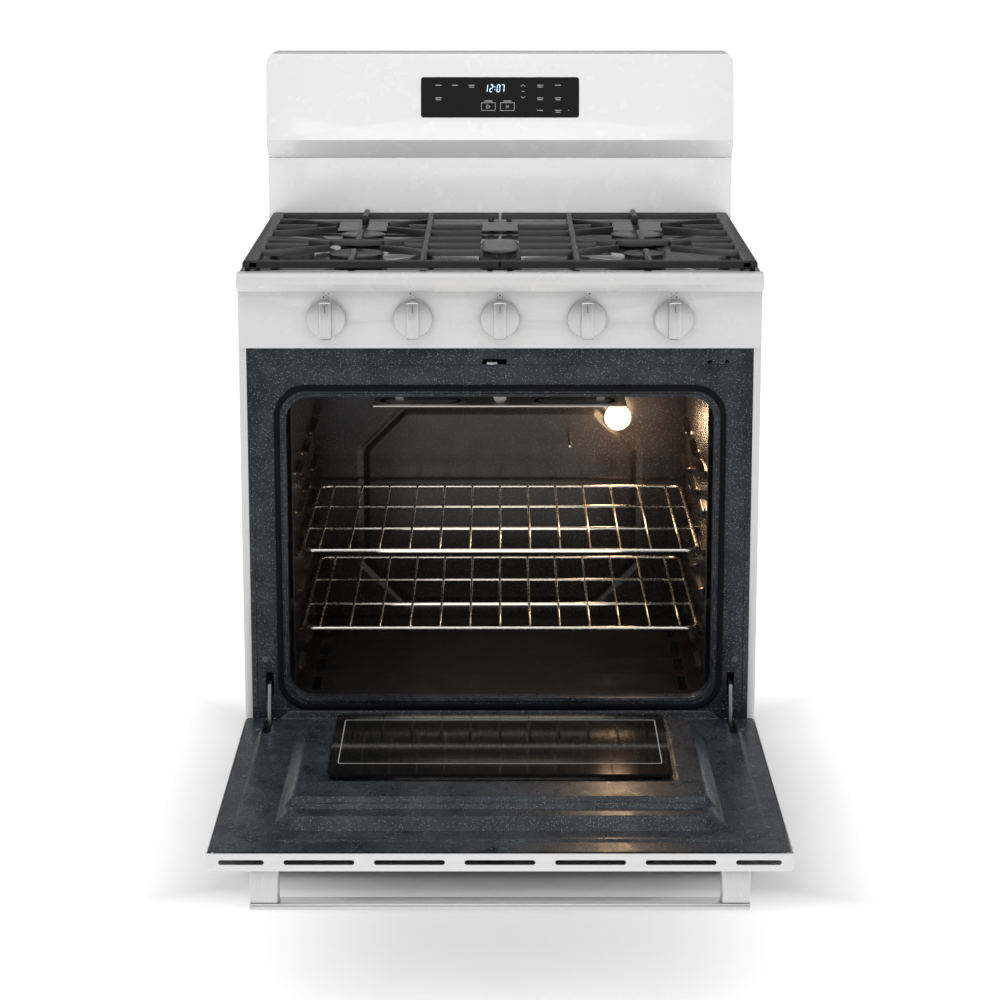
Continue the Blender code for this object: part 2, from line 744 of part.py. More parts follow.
def oven_back_wall(finish):
    """The oven's back wall, with a raised panel and holes for the lamp and the probe."""
    half = CAVITY_WIDTH / 2 - SHEET - GAP
    low, high = FRAME_BOTTOM + GAP, CAVITY_TOP - SHEET - GAP
    level = (CAVITY_BACK - SHEET, CAVITY_BACK)
    wall = box("oven_back_wall", (-half, half), level, (low, high))
    holes = []
    for (x, z), radius in ((LAMP_PLACE, LAMP_RADIUS * LAMP_NECK), (PROBE_PLACE, PROBE_RADIUS)):
        start, end = (x, CAVITY_BACK - CUT, z), (x, CAVITY_BACK + CUT, z)
        holes.append(rod("wall_hole", start, end, radius + GAP * 2, 16))
    return paint(cut(wall, *holes), finish)


def oven_floor_panel(finish):
    """The lift-out floor of the oven, over the bake burner, with slots along both sides."""
    half = CAVITY_WIDTH / 2 - SHEET - GAP
    back = CAVITY_BACK - SHEET - GAP
    level = (FRAME_BOTTOM + GAP, FRAME_BOTTOM + GAP + SHEET)
    floor = box("oven_floor_panel", (-half, half), (CAVITY_FRONT, back), level)
    slots = []
    for sign in SIDES.values():
        outer = half - HEAT_SLOT_INSET
        ends = sorted((sign * outer, sign * (outer - HEAT_SLOT_WIDTH)))
        for step in range(HEAT_SLOTS):
            start = CAVITY_FRONT + HEAT_SLOT_START + HEAT_SLOT_PITCH * step
            depth = (start, start + HEAT_SLOT_LENGTH)
            slots.append(box("heat_slot", ends, depth, (level[0] - CUT, level[1] + CUT)))
    return paint(cut(floor, *slots), finish)


def broil_burner(finish):
    """The broil burner under the oven's ceiling: a flat radiant plate, its tube and two hangers."""
    half = BROIL_WIDTH / 2
    start = FRONT + BROIL_SETBACK
    low = CAVITY_TOP - BROIL_DROP
    plate = box("broil_burner", (-half, half), (start, start + BROIL_DEPTH), (low, low + BROIL_PLATE))
    shapes = []
    tube_z = low + BROIL_TUBE_RISE
    end = CAVITY_BACK - SHEET - GAP * 2
    tube_start = start + BROIL_TUBE_START
    shapes.append(rod("broil_tube", (0.0, tube_start, tube_z), (0.0, end, tube_z), TUBE_RADIUS, 10))
    level = (low + BITE, CAVITY_TOP - SHEET - GAP)
    for y in (start + HANGER_INSETS[0], start + BROIL_DEPTH - HANGER_INSETS[1]):
        for x in (-HANGER_X, HANGER_X):
            ends = (x - HANGER_WIDTH / 2, x + HANGER_WIDTH / 2)
            shapes.append(box("hanger", ends, (y, y + HANGER_WIDTH), level))
    return paint(join(plate, *shapes), finish)


def bake_burner(finish):
    """The bake burner, a capped tube under the oven's floor."""
    z = FRAME_BOTTOM - BAKE_DROP
    start, end = FRONT + BAKE_START, CAVITY_BACK - BAKE_END
    tube = rod("bake_burner", (0.0, start, z), (0.0, end, z), TUBE_RADIUS, 10)
    level = (z - WING_THICKNESS / 2, z + WING_THICKNESS / 2)
    wings = box("wings", (-WING_REACH, WING_REACH), (start + WING_START, end - WING_END), level)
    return paint(join(tube, wings), finish)


def oven_lamp(finish):
    """The oven lamp's glass dome and its socket, through the back wall."""
    neck = LAMP_RADIUS * LAMP_NECK
    profile = [(neck, -LAMP_SOCKET), (neck, SHEET + GAP), (LAMP_RADIUS, SHEET + GAP)]
    profile += [(LAMP_RADIUS * share, reach) for share, reach in LAMP_SHAPE]
    x, z = LAMP_PLACE
    return paint(turned("oven_lamp", profile, (x, CAVITY_BACK, z), (0, -1, 0), 20), finish)


def temperature_probe(finish):
    """The thin probe that reaches into the oven through the back wall."""
    x, z = PROBE_PLACE
    start, end = (x, CAVITY_BACK + PROBE_TAIL, z), (x, CAVITY_BACK - PROBE_LENGTH, z)
    return paint(rod("temperature_probe", start, end, PROBE_RADIUS, 10), finish)


def oven_rack(name, level, finish):
    """A wire rack: a heavy frame with a stop bar at its back and a row of thinner ribs."""
    low = level + RACK_CLEARANCE
    z = (low, low + RACK_WIRE)
    half = RACK_WIDTH / 2
    start, end = FRONT + RACK_SETBACK, FRONT + RACK_SETBACK + RACK_DEPTH
    inner = half - RACK_WIRE
    rack = box(name, (-half, -inner), (start, end), z)
    shapes = [box("rack_side", (inner, half), (start, end), z)]
    for y in (start, start + RACK_DEPTH / 2, end - RACK_WIRE):
        shapes.append(box("rack_rod", (-half, half), (y, y + RACK_WIRE), z))
    for step in range(RACK_RIBS):
        x = -inner + 2 * inner * (step + 1) / (RACK_RIBS + 1)
        ends = (x - RACK_RIB / 2, x + RACK_RIB / 2)
        rib_z = (low + RACK_RIB_RISE, low + RACK_RIB_RISE + RACK_RIB)
        shapes.append(box("rack_rib", ends, (start, end), rib_z))
    return paint(join(rack, *shapes), finish)


# Door ----------------------------------------------------------------------------------------


def hinge_notches(low, high):
    """Cutters for the two slots that the hinge arms stand in, from the door's heel."""
    cutters = []
    for sign in SIDES.values():
        ends = (sign * HINGE_X - HINGE_SLOT / 2, sign * HINGE_X + HINGE_SLOT / 2)
        reach = HINGE_SLOT_BOTTOM + HINGE_NOTCH - PIVOT.z
        cutters.append(box("hinge_notch", ends, (PIVOT.y - reach, DOOR_HEEL_Y + CUT), (low, high)))
    return cutters


def door_outer_panel(finish):
    """The door's outer skin, a shallow pan with a window opening and seven vents in its top edge."""
    y = (DOOR_EDGE_Y, DOOR_HEEL_Y)
    top = DOOR_FACE - INNER_EDGE - GAP
    outline = rounded((-HALF_BODY, DOOR_SKIN), (HALF_BODY, top + CUT), OUTER_CORNER, 2)
    skin = prism("door_outer_panel", outline, "Y", *y)
    inside_x = (-HALF_BODY + SHEET, HALF_BODY - SHEET)
    inside_y = (y[0] + SHEET, y[1] - SHEET)
    hollow = box("hollow", inside_x, inside_y, (DOOR_SKIN + SHEET, top + CUT * 2))
    lid = box("lid", (-WIDTH, WIDTH), (y[0] - CUT, y[1] + CUT), (top, top + CUT * 3))
    half = OUTER_WINDOW_WIDTH / 2
    window_y = (PIVOT.y - OUTER_WINDOW_END, PIVOT.y - OUTER_WINDOW_START)
    window = prism(
        "window_cut",
        rounded((-half, window_y[0]), (half, window_y[1]), OUTER_WINDOW_RADIUS),
        "Z",
        DOOR_SKIN - CUT,
        DOOR_SKIN + CUT,
    )
    vents = []
    middle = (DOOR_SKIN + top) / 2
    edge = HALF_BODY - VENT_MARGIN
    for step in range(VENT_COUNT):
        x = VENT_PITCH * (step - (VENT_COUNT - 1) / 2)
        low = (max(x - VENT_LENGTH / 2, -edge), middle - VENT_HEIGHT / 2)
        high = (min(x + VENT_LENGTH / 2, edge), middle + VENT_HEIGHT / 2)
        vents.append(prism("vent", rounded(low, high, VENT_CORNER, 3), "Y", y[0] - CUT, y[0] + CUT))
    cut(skin, hollow, lid, window, *vents, *hinge_notches(DOOR_SKIN + HINGE_NOTCH_FLOOR, top + CUT * 2))
    return paint(skin, finish)


def door_inner_panel(finish):
    """The stamped inner panel: a flat border, a raised middle with a window, and the latch's slot."""
    half = HALF_BODY - INNER_INSET
    y = (DOOR_EDGE_Y + INNER_INSET, DOOR_HEEL_Y - INNER_INSET)
    border = DOOR_FACE - INNER_EDGE
    outline = rounded((-half, y[0]), (half, y[1]), INNER_CORNER)
    plate = prism("door_inner_panel", outline, "Z", border, DOOR_FACE)
    shoulder = PLATEAU_WIDTH / 2
    raised_y = (PIVOT.y - PLATEAU_END, PIVOT.y - PLATEAU_START)
    top = DOOR_FACE + PLATEAU_RISE
    raised = rounded((-shoulder, raised_y[0]), (shoulder, raised_y[1]), PLATEAU_RADIUS, 4)
    low = (-shoulder + SHEET, raised_y[0] + SHEET)
    high = (shoulder - SHEET, raised_y[1] - SHEET)
    under = rounded(low, high, PLATEAU_RADIUS - SHEET, 4)
    plateau = prism("plateau", raised, "Z", DOOR_FACE - BITE, top)
    hollow = prism("plateau_hollow", under, "Z", border - CUT, top - SHEET)
    window_y = (PIVOT.y - WINDOW_END, PIVOT.y - WINDOW_START)
    half_window = WINDOW_WIDTH / 2
    window_outline = rounded((-half_window, window_y[0]), (half_window, window_y[1]), WINDOW_RADIUS)
    window = prism("window_cut", window_outline, "Z", top - CUT, top + CUT)
    slot_y = PIVOT.y - (LATCH_HEIGHT - PIVOT.z)
    slot_x = (LATCH_X - LATCH_SLOT_WIDTH / 2, LATCH_X + LATCH_SLOT_WIDTH / 2)
    slot_ends = (slot_y - DOOR_SLOT_HALF, slot_y + DOOR_SLOT_HALF)
    slot = box("latch_slot", slot_x, slot_ends, (border - CUT, DOOR_FACE + CUT))
    notches = hinge_notches(border - CUT, DOOR_FACE + CUT)
    cut(join(plate, plateau), hollow, window, slot, *notches)
    return paint(plate, finish)


def door_glass(name, half, start, end, radius, low, finish):
    """One flat pane of the door."""
    outline = rounded((-half, PIVOT.y - end), (half, PIVOT.y - start), radius)
    return paint(prism(name, outline, "Z", low, low + GLASS), finish)


def door_panes(glass, black):
    """The inner pane under the raised window and the outer pane in the skin."""
    low = DOOR_FACE + PLATEAU_RISE - SHEET - GAP - GLASS
    inner = door_glass(
        "door_inner_glass",
        WINDOW_WIDTH / 2 + GLASS_LAP,
        WINDOW_START - GLASS_LAP,
        WINDOW_END + GLASS_LAP,
        WINDOW_RADIUS,
        low,
        glass,
    )
    outer = door_glass(
        "door_outer_glass",
        OUTER_WINDOW_WIDTH / 2 - GAP * 2,
        OUTER_WINDOW_START + GAP * 2,
        OUTER_WINDOW_END - GAP * 2,
        OUTER_WINDOW_RADIUS - GAP * 2,
        DOOR_SKIN + GAP,
        black,
    )
    return [inner, outer]


def door_handle(finish):
    """The handle's bar and the two posts that hold it off the door."""
    half = HANDLE_LENGTH / 2
    y = (DOOR_EDGE_Y + HANDLE_SETBACK, DOOR_EDGE_Y + HANDLE_SETBACK + HANDLE_DEPTH)
    low = DOOR_SKIN - HANDLE_STAND
    outline = rounded((y[0], low), (y[1], low + HANDLE_BAR), HANDLE_ROUNDING, 3)
    pieces = [paint(prism("door_handle_bar", outline, "X", -half, half), finish)]
    for side, sign in SIDES.items():
        ends = sorted((sign * half, sign * (half - POST_WIDTH)))
        depth = (y[0] + POST_INSET, y[0] + POST_INSET + POST_DEPTH)
        plan = rounded((ends[0], depth[0]), (ends[1], depth[1]), POST_CORNER, 3)
        top = DOOR_SKIN - GAP
        post = prism(f"door_handle_post_{side}", plan, "Z", low + HANDLE_BAR + GAP, top)
        pieces.append(paint(post, finish))
    return pieces


def hinge_arm(side, sign, finish):
    """The fixed arm that stands in the frame's slot and carries the door's pivot."""
    y, z = PIVOT.y, PIVOT.z
    low, high = HINGE_SLOT_BOTTOM + ARM_CLEARANCE, HINGE_SLOT_BOTTOM + ARM_HEIGHT
    outline = [
        (y - ARM_EYE, z - ARM_EYE_LOW),
        (y + ARM_EYE, z - ARM_EYE_LOW),
        (FRONT - ARM_CLEARANCE, z + ARM_EYE_LOW),
        (FRONT - ARM_CLEARANCE, low),
        (FRONT + ARM_TAIL, low),
        (FRONT + ARM_TAIL, high),
        (FRONT - ARM_SHOULDER, high),
        (y - ARM_EYE, z + ARM_EYE_HIGH),
    ]
    middle = sign * HINGE_X
    ends = (middle - HINGE_ARM / 2, middle + HINGE_ARM / 2)
    return paint(prism(f"hinge_arm_{side}", outline, "X", *ends), finish)


def latch_hook(finish):
    """The door lock's flat hook, which swings sideways in the frame's slot."""
    tip, back = FRONT - LATCH_REACH, FRONT + LATCH_PIVOT_DEPTH
    x = LATCH_X - HOOK_SHIFT
    outline = [
        (x - HOOK_NEAR, back + HOOK_TAIL),
        (x - HOOK_NEAR, tip),
        (x + HOOK_FAR, tip - HOOK_SLOPE),
        (x + HOOK_BARB, tip + HOOK_SLOPE),
        (x + HOOK_BARB, tip + HOOK_BARB_ROOT),
        (x + HOOK_FAR, tip + HOOK_BARB_ROOT),
        (x + HOOK_FAR, back + HOOK_TAIL),
    ]
    level = (LATCH_HEIGHT - HOOK_SHEET / 2, LATCH_HEIGHT + HOOK_SHEET / 2)
    return paint(prism("latch_hook", outline, "Z", *level), finish)


# Drawer --------------------------------------------------------------------------------------


def drawer_front(finish):
    """The storage drawer's folded front panel with a finger lip along its top."""
    face = FRONT - DRAWER_PROUD
    line = [
        (FRONT - GAP * 8, DRAWER_TOP),
        (face, DRAWER_TOP),
        (face, DRAWER_BOTTOM),
        (FRONT - GAP * 8, DRAWER_BOTTOM),
    ]
    panel = prism("drawer_front", folded(line, SHEET), "X", -HALF_BODY, HALF_BODY)
    ends = [
        prism("drawer_end", line, "X", *sorted((s * HALF_BODY, s * (HALF_BODY - SHEET)))) for s in (-1, 1)
    ]
    return paint(join(panel, *ends), finish)


def drawer_box(finish):
    """The drawer's open steel bin."""
    half = BIN_WIDTH / 2
    start, end = FRONT - GAP * 7, FRONT + BIN_DEPTH
    bin_box = box("drawer_box", (-half, half), (start, end), (BIN_BOTTOM, BIN_TOP))
    inside_x = (-half + SHEET, half - SHEET)
    inside_z = (BIN_BOTTOM + SHEET, BIN_TOP + CUT)
    inside = box("bin_inside", inside_x, (start + SHEET, end - SHEET), inside_z)
    return paint(cut(bin_box, inside), finish)


# Cooktop -------------------------------------------------------------------------------------


def cooktop_pan(finish):
    """The stamped cooktop: a rim round a recessed floor with a hole for each burner."""
    half = PAN_WIDTH / 2
    start, end = FRONT + PAN_SETBACK, FRONT + SPLASH_SETBACK - GAP
    pan = box("cooktop_pan", (-half, half), (start, end), (PAN_BOTTOM, COOKTOP_HEIGHT - GAP))
    low = (-half + PAN_RIM, start + PAN_RIM)
    high = (half - PAN_RIM, end - PAN_RIM)
    recess = prism("recess", rounded(low, high, PAN_CORNER), "Z", PAN_FLOOR, COOKTOP_HEIGHT + CUT)
    under_x = (-half + SHEET, half - SHEET)
    under_z = (PAN_BOTTOM - CUT, PAN_FLOOR - SHEET)
    under = box("underside", under_x, (start + SHEET, end - SHEET), under_z)
    holes = []
    for x, y, radius, stretch in BURNERS.values():
        rise = (PAN_BOTTOM - CUT, PAN_FLOOR + BITE)
        holes.append(burner_shape("burner_hole", x, y, radius * THROAT, stretch, *rise))
    return paint(cut(pan, recess, under, *holes), finish)


def burner_shape(name, x, y, radius, stretch, low, high, steps=4):
    """A round disc, or one drawn out front to back by twice the stretch."""
    middle = FRONT + y
    corner_low = (x - radius, middle - radius - stretch)
    corner_high = (x + radius, middle + radius + stretch)
    return prism(name, rounded(corner_low, corner_high, radius * ROUNDEST, steps), "Z", low, high)


def burner_head(place, finish):
    """A burner's head: its base on the pan, the slotted ring, and the throat below the pan."""
    x, y, radius, stretch = BURNERS[place]
    low = PAN_FLOOR + GAP
    name = f"burner_head_{place}"
    top = low + HEAD_BASE_HEIGHT
    head = burner_shape(name, x, y, radius * HEAD_BASE, stretch, low, top)
    ring = burner_shape("ring", x, y, radius * HEAD_RING, stretch, top - BITE, low + HEAD_HEIGHT)
    narrow = radius * THROAT - THROAT_CLEARANCE
    throat = burner_shape("throat", x, y, narrow, stretch, PAN_BOTTOM - THROAT_DROP, top - BITE * 2)
    return paint(join(head, ring, throat), finish)


def burner_cap(place, finish):
    """The loose cap that lies on a burner's head."""
    x, y, radius, stretch = BURNERS[place]
    low = PAN_FLOOR + GAP * 2 + HEAD_HEIGHT
    name = f"burner_cap_{place}"
    return smooth(paint(burner_shape(name, x, y, radius, stretch, low, low + CAP_THICKNESS), finish))


def grate(side, sign, finish):
    """A cast grate over two burners: rails on three sides, a spine, and fingers to each burner."""
    top = COOKTOP_HEIGHT + GRATE_HEIGHT
    low = top - GRATE_BAR_DEPTH
    z = (low, top)
    outer, inner = GRATE_WIDTH / 2, GRATE_SPLIT / 2
    start, end = FRONT + GRATE_SETBACK, FRONT + GRATE_SETBACK + GRATE_DEPTH
    rail = outer - GRATE_RAIL
    wide = GRATE_BAR * END_RAIL
    root = sign * (rail + BITE * 2)
    made = box(f"grate_{side}", sorted((sign * outer, sign * rail)), (start, end), z)
    shapes = []
    for y in (start, end - wide):
        ends = sorted((root, sign * inner))
        shapes.append(box("end_rail", ends, (y, y + wide), z))
    cross = FRONT + CROSS_RAIL
    spine = sign * GRATE_SPINE
    shapes.append(bar("cross_rail", (root, cross), (spine, cross), GRATE_BAR, z))
    sunk = (low, top - SPINE_DROP)
    shapes.append(bar("spine", (spine, start + BITE), (spine, end - BITE), GRATE_BAR, sunk))
    for depth in GRATE_BARS:
        y = FRONT + depth
        shapes.append(bar("inner_bar", (sign * GRATE_FREE_END, y), (spine, y), GRATE_BAR, z))
    for place in (f"front_{side}", f"rear_{side}"):
        x, depth, _, _ = BURNERS[place]
        y = FRONT + depth
        for step in (-1, 0, 1):
            reach = TIP_OFFSET if step else SHORT_TIP
            tip_y = y + step * TIP_SPREAD
            root_y = y + step * FINGER_SPREAD
            shapes.append(bar("finger", (root, root_y), (x + sign * reach, tip_y), GRATE_BAR, z))
            shapes.append(bar("finger", (spine, root_y), (x - sign * reach, tip_y), GRATE_BAR, z))
    front_tip = FRONT + BURNERS[f"front_{side}"][1] - TAB_TIP
    rear_middle = FRONT + BURNERS[f"rear_{side}"][1]
    x = BURNERS[f"front_{side}"][0]
    shapes.append(bar("front_tab", (x, start + BITE), (x, front_tip), GRATE_BAR, z))
    shapes.append(bar("middle_tab", (x, cross), (x, rear_middle - TAB_TIP), GRATE_BAR, z))
    raised = (low, top + TAB_RISE)
    shapes.append(bar("rear_tab", (x, end - BITE * 2), (x, rear_middle + TAB_TIP), GRATE_BAR, raised))
    reach = GRATE_FOOT / 2
    for x in (outer - GRATE_FOOT_INSET, inner + GRATE_FOOT_INNER):
        for y in (start + GRATE_FOOT_INSET, end - GRATE_FOOT_INSET):
            foot_x = sorted((sign * (x - reach), sign * (x + reach)))
            shapes.append(box("grate_foot", foot_x, (y - reach, y + reach), (COOKTOP_HEIGHT, low + BITE)))
    return paint(join(made, *shapes), finish)


# Backguard -----------------------------------------------------------------------------------


def backguard_splash(finish):
    """The upright sheet behind the cooktop, folded back at both ends."""
    half = WIDTH / 2
    face = FRONT + SPLASH_SETBACK
    back = BACK - SHEET - GAP
    line = [(-half, back), (-half, face), (half, face), (half, back)]
    outline = folded(line, SHEET)
    return paint(prism("backguard_splash", outline, "Z", RAIL_LOW, SPLASH_TOP), finish)


def console_solid(name, inset, back):
    """The console's outer shape made smaller by inset, running back to the given depth."""
    half = WIDTH / 2 - inset
    low = SPLASH_TOP + GAP
    foot, top = FRONT + CONSOLE_FOOT_SETBACK + inset, FRONT + CONSOLE_TOP_SETBACK + inset
    floor = low - (OPEN_END if inset else 0.0)
    lip = CONSOLE_BOTTOM + inset * MITRE
    side = [
        (foot, lip),
        (foot + lip - floor, floor),
        (back, floor),
        (back, OVERALL_HEIGHT - inset),
        (top, OVERALL_HEIGHT - inset),
    ]
    solid = prism(name, side, "X", -half, half)
    radius = CONSOLE_RADIUS - inset
    ring = rounded((-half, COOKTOP_HEIGHT), (half, OVERALL_HEIGHT - inset), radius)
    round_off = prism(f"{name}_round", ring, "Y", foot - ROUNDING_REACH, BACK + ROUNDING_REACH)
    return combine(solid, [round_off], "INTERSECT")


def tilt():
    """How far the console's face leans back, in radians."""
    lean = CONSOLE_TOP_SETBACK - CONSOLE_FOOT_SETBACK
    return math.atan2(lean, OVERALL_HEIGHT - CONSOLE_BOTTOM)


def on_console(name, half_width, half_height, near, far, radius):
    """A rounded plate square to the console's face, from near to far behind the face."""
    low, high = (-half_width, -half_height), (half_width, half_height)
    plate = prism(name, rounded(low, high, radius), "Y", near, far)
    middle_z = CONSOLE_BOTTOM + (OVERALL_HEIGHT - CONSOLE_BOTTOM) * TOUCH_MIDDLE
    lean = (CONSOLE_TOP_SETBACK - CONSOLE_FOOT_SETBACK) * TOUCH_MIDDLE
    middle = Vector((0.0, FRONT + CONSOLE_FOOT_SETBACK + lean, middle_z))
    plate.data.transform(Matrix.Translation(middle) @ Matrix.Rotation(-tilt(), 4, "X"))
    return plate


def backguard_console(finish):
    """The hollow console on top of the splash, open behind, with the touch panel's cut-out."""
    back = BACK - SHEET - GAP
    console = console_solid("backguard_console", 0.0, back)
    hollow = console_solid("console_hollow", CONSOLE_SHEET, back + CUT)
    half = (TOUCH_WIDTH / 2 + GAP, TOUCH_HEIGHT / 2 + GAP)
    window = on_console("touch_cut", *half, -CUT, CUT, TOUCH_CORNER + GAP)
    return paint(cut(console, hollow, window), finish)


def control_glass(finish):
    """The black glass touch panel in the console's face."""
    half = (TOUCH_WIDTH / 2, TOUCH_HEIGHT / 2)
    depth = (-TOUCH_PROUD, TOUCH_THICKNESS - TOUCH_PROUD)
    return paint(on_console("control_glass", *half, *depth, TOUCH_CORNER), finish)


# Assembly ------------------------------------------------------------------------------------


def build_body(look):
    """Everything that stays still, apart from the oven's own pieces."""
    for side, sign in SIDES.items():
        side_panel(side, sign, look["white_enamel"])
        for end, y in (("front", FRONT + FOOT_INSET), ("rear", BACK - FOOT_INSET)):
            foot(side, sign, end, y, look["rubber"])
        hinge_arm(side, sign, look["zinc"])
    rear_panel(look["zinc"])
    base_frame(look["zinc"])
    control_panel(look["white_enamel"])
    front_trim_rail(look["white_enamel"])
    gas_manifold(look["zinc"])
    backguard_splash(look["white_enamel"])
    backguard_console(look["white_enamel"])
    control_glass(look["black_glass"])


def build_oven(look):
    """The oven's liner, seal, burners, lamp and probe, and its two racks."""
    oven_front_frame(look["porcelain"])
    oven_gasket(look["gasket_braid"])
    oven_wrapper(look["porcelain"])
    oven_back_wall(look["porcelain"])
    oven_floor_panel(look["porcelain"])
    broil_burner(look["cream_ceramic"])
    bake_burner(look["zinc"])
    oven_lamp(look["lamp_glass"])
    temperature_probe(look["stainless"])
    for name, level in (("rack_lower", GUIDE_LEVELS[1]), ("rack_upper", GUIDE_LEVELS[3])):
        rack = oven_rack(name, level, look["chrome"])
        hang(rack, axis_empty(f"{name}_slide", (0.0, FRONT + RACK_SETBACK, level)))


def build_door(look):
    """The door's pieces on their pivot, and the latch on its own."""
    pieces = [door_outer_panel(look["white_enamel"]), door_inner_panel(look["porcelain"])]
    pieces += door_panes(look["window_glass"], look["black_glass"])
    pieces += door_handle(look["stainless"])
    pivot = axis_empty("door_pivot", PIVOT)
    for piece in pieces:
        hang(piece, pivot)
    shank = LATCH_X - HOOK_SHIFT + (HOOK_FAR - HOOK_NEAR) / 2
    place = (shank, FRONT + LATCH_PIVOT_DEPTH, LATCH_HEIGHT)
    hang(latch_hook(look["zinc"]), axis_empty("latch_pivot", place))


def build_drawer(look):
    """The storage drawer on its slide."""
    slide = axis_empty("drawer_slide", (0.0, FRONT, BIN_BOTTOM))
    hang(drawer_front(look["white_enamel"]), slide)
    hang(drawer_box(look["zinc"]), slide)


def build_cooktop(look):
    """The cooktop with its burners and its two grates."""
    cooktop_pan(look["black_enamel"])
    for place, (x, y, _, _) in BURNERS.items():
        burner_head(place, look["zinc"])
        seat = axis_empty(f"burner_cap_{place}_seat", (x, FRONT + y, PAN_FLOOR + HEAD_HEIGHT))
        hang(burner_cap(place, look["black_enamel"]), seat)
    for side, sign in SIDES.items():
        seat = axis_empty(f"grate_{side}_seat", (sign * GRATE_WIDTH / 4, FRONT + CROSS_RAIL, COOKTOP_HEIGHT))
        hang(grate(side, sign, look["cast_iron"]), seat)


def build_controls(look):
    """The five knobs and the valve stems that they turn."""
    for index, x in enumerate(KNOB_SITES, 1):
        turning = axis_empty(f"knob_{index}_axis", (x, FRONT, KNOB_HEIGHT))
        hang(valve_rotor(index, x, look["brass"]), turning)
        hang(knob(index, x, look["stainless"]), turning)


def main():
    clear_scene()
    look = finishes()
    build_body(look)
    build_oven(look)
    build_door(look)
    build_drawer(look)
    build_cooktop(look)
    build_controls(look)


main()
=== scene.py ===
"""Looks of the freestanding gas range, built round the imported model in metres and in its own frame."""
import enum
import logging
import math
from dataclasses import dataclass

import bpy
import numpy as np
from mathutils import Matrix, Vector


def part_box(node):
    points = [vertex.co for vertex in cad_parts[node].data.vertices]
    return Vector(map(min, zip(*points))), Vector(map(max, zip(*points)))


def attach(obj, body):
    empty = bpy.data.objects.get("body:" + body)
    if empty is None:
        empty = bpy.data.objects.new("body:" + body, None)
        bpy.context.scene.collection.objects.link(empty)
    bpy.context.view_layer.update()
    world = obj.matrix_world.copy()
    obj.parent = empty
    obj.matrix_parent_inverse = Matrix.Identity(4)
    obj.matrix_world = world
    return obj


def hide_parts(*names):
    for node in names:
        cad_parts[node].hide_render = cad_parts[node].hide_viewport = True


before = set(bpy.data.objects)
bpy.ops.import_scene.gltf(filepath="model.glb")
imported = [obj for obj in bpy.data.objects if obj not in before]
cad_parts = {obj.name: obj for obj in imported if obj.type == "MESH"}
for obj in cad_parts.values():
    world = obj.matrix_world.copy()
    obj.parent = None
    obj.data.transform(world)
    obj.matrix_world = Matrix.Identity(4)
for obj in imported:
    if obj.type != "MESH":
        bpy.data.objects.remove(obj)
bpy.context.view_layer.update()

LOG = logging.getLogger("range")
WELD_GAP = 1e-5
SMOOTH_BELOW = math.radians(24)
BEVEL_OVER = math.radians(35)
Array = np.ndarray
Colour = tuple[float, float, float]
Pair = tuple[float, float]
Place = tuple[float, float, float]


# ---------------------------------------------------------------- meshes


class Axis(enum.Enum):
    """The world axis that a flat plate or a turned shape faces along."""

    X = (1, 2, 0)
    Y = (2, 0, 1)
    Z = (0, 1, 2)


def lay(across: Array, up: Array, along: Array, axis: Axis) -> Array:
    """Put three coordinates in world order.

    Args:
        across: First coordinate in the plane square to the axis.
        up: Second coordinate in that plane.
        along: Coordinate along the axis.
        axis: The axis itself.

    Returns:
        Points whose last dimension is x, y, z.
    """
    across, up, along = np.broadcast_arrays(across, up, along)
    points = np.empty(across.shape + (3,))
    for value, index in zip((across, up, along), axis.value):
        points[..., index] = value
    return points


def outline(width: float, height: float, radius: float, arc: int = 8, side: int = 1) -> Array:
    """Round a rectangle: four quarter circles about its corner centres, joined by straight runs.

    Args:
        width: Full size across.
        height: Full size up.
        radius: Corner radius.
        arc: Points on each corner.
        side: Points on each straight run.

    Returns:
        Points (count, 2) anticlockwise about the middle.
    """
    radius = max(min(radius, width / 2 - 1e-6, height / 2 - 1e-6), 1e-6)
    angle = np.linspace(0, np.pi / 2, arc)
    turned = [np.stack([np.cos(angle + k * np.pi / 2), np.sin(angle + k * np.pi / 2)], 1) for k in range(4)]
    signs = ((1, 1), (-1, 1), (-1, -1), (1, -1))
    middles = [np.array([sx * (width / 2 - radius), sy * (height / 2 - radius)]) for sx, sy in signs]
    corners = [middle + radius * quarter for middle, quarter in zip(middles, turned)]
    share = np.linspace(0, 1, side + 2)[1:-1, None]
    runs = [corners[k][-1] + share * (corners[(k + 1) % 4][0] - corners[k][-1]) for k in range(4)]
    return np.concatenate([part for pair in zip(corners, runs) for part in pair])


def within(x: Array, y: Array, middle: tuple[float, float], size: tuple[float, float], radius: float) -> Array:
    """Distance to a rounded rectangle, less than nothing inside it.

    Args:
        x: First coordinate.
        y: Second coordinate.
        middle: Its middle.
        size: Its full sizes.
        radius: Its corner radius.

    Returns:
        The distance of each point.
    """
    dx = np.abs(x - middle[0]) - size[0] / 2 + radius
    dy = np.abs(y - middle[1]) - size[1] / 2 + radius
    return np.hypot(np.maximum(dx, 0), np.maximum(dy, 0)) + np.minimum(np.maximum(dx, dy), 0) - radius


def ease(distance: Array, width: float) -> Array:
    """Go smoothly from one, where the distance is -width/2 or less, to nought at width/2: 3t^2 - 2t^3."""
    t = np.clip(0.5 - distance / width, 0, 1)
    return t * t * (3 - 2 * t)


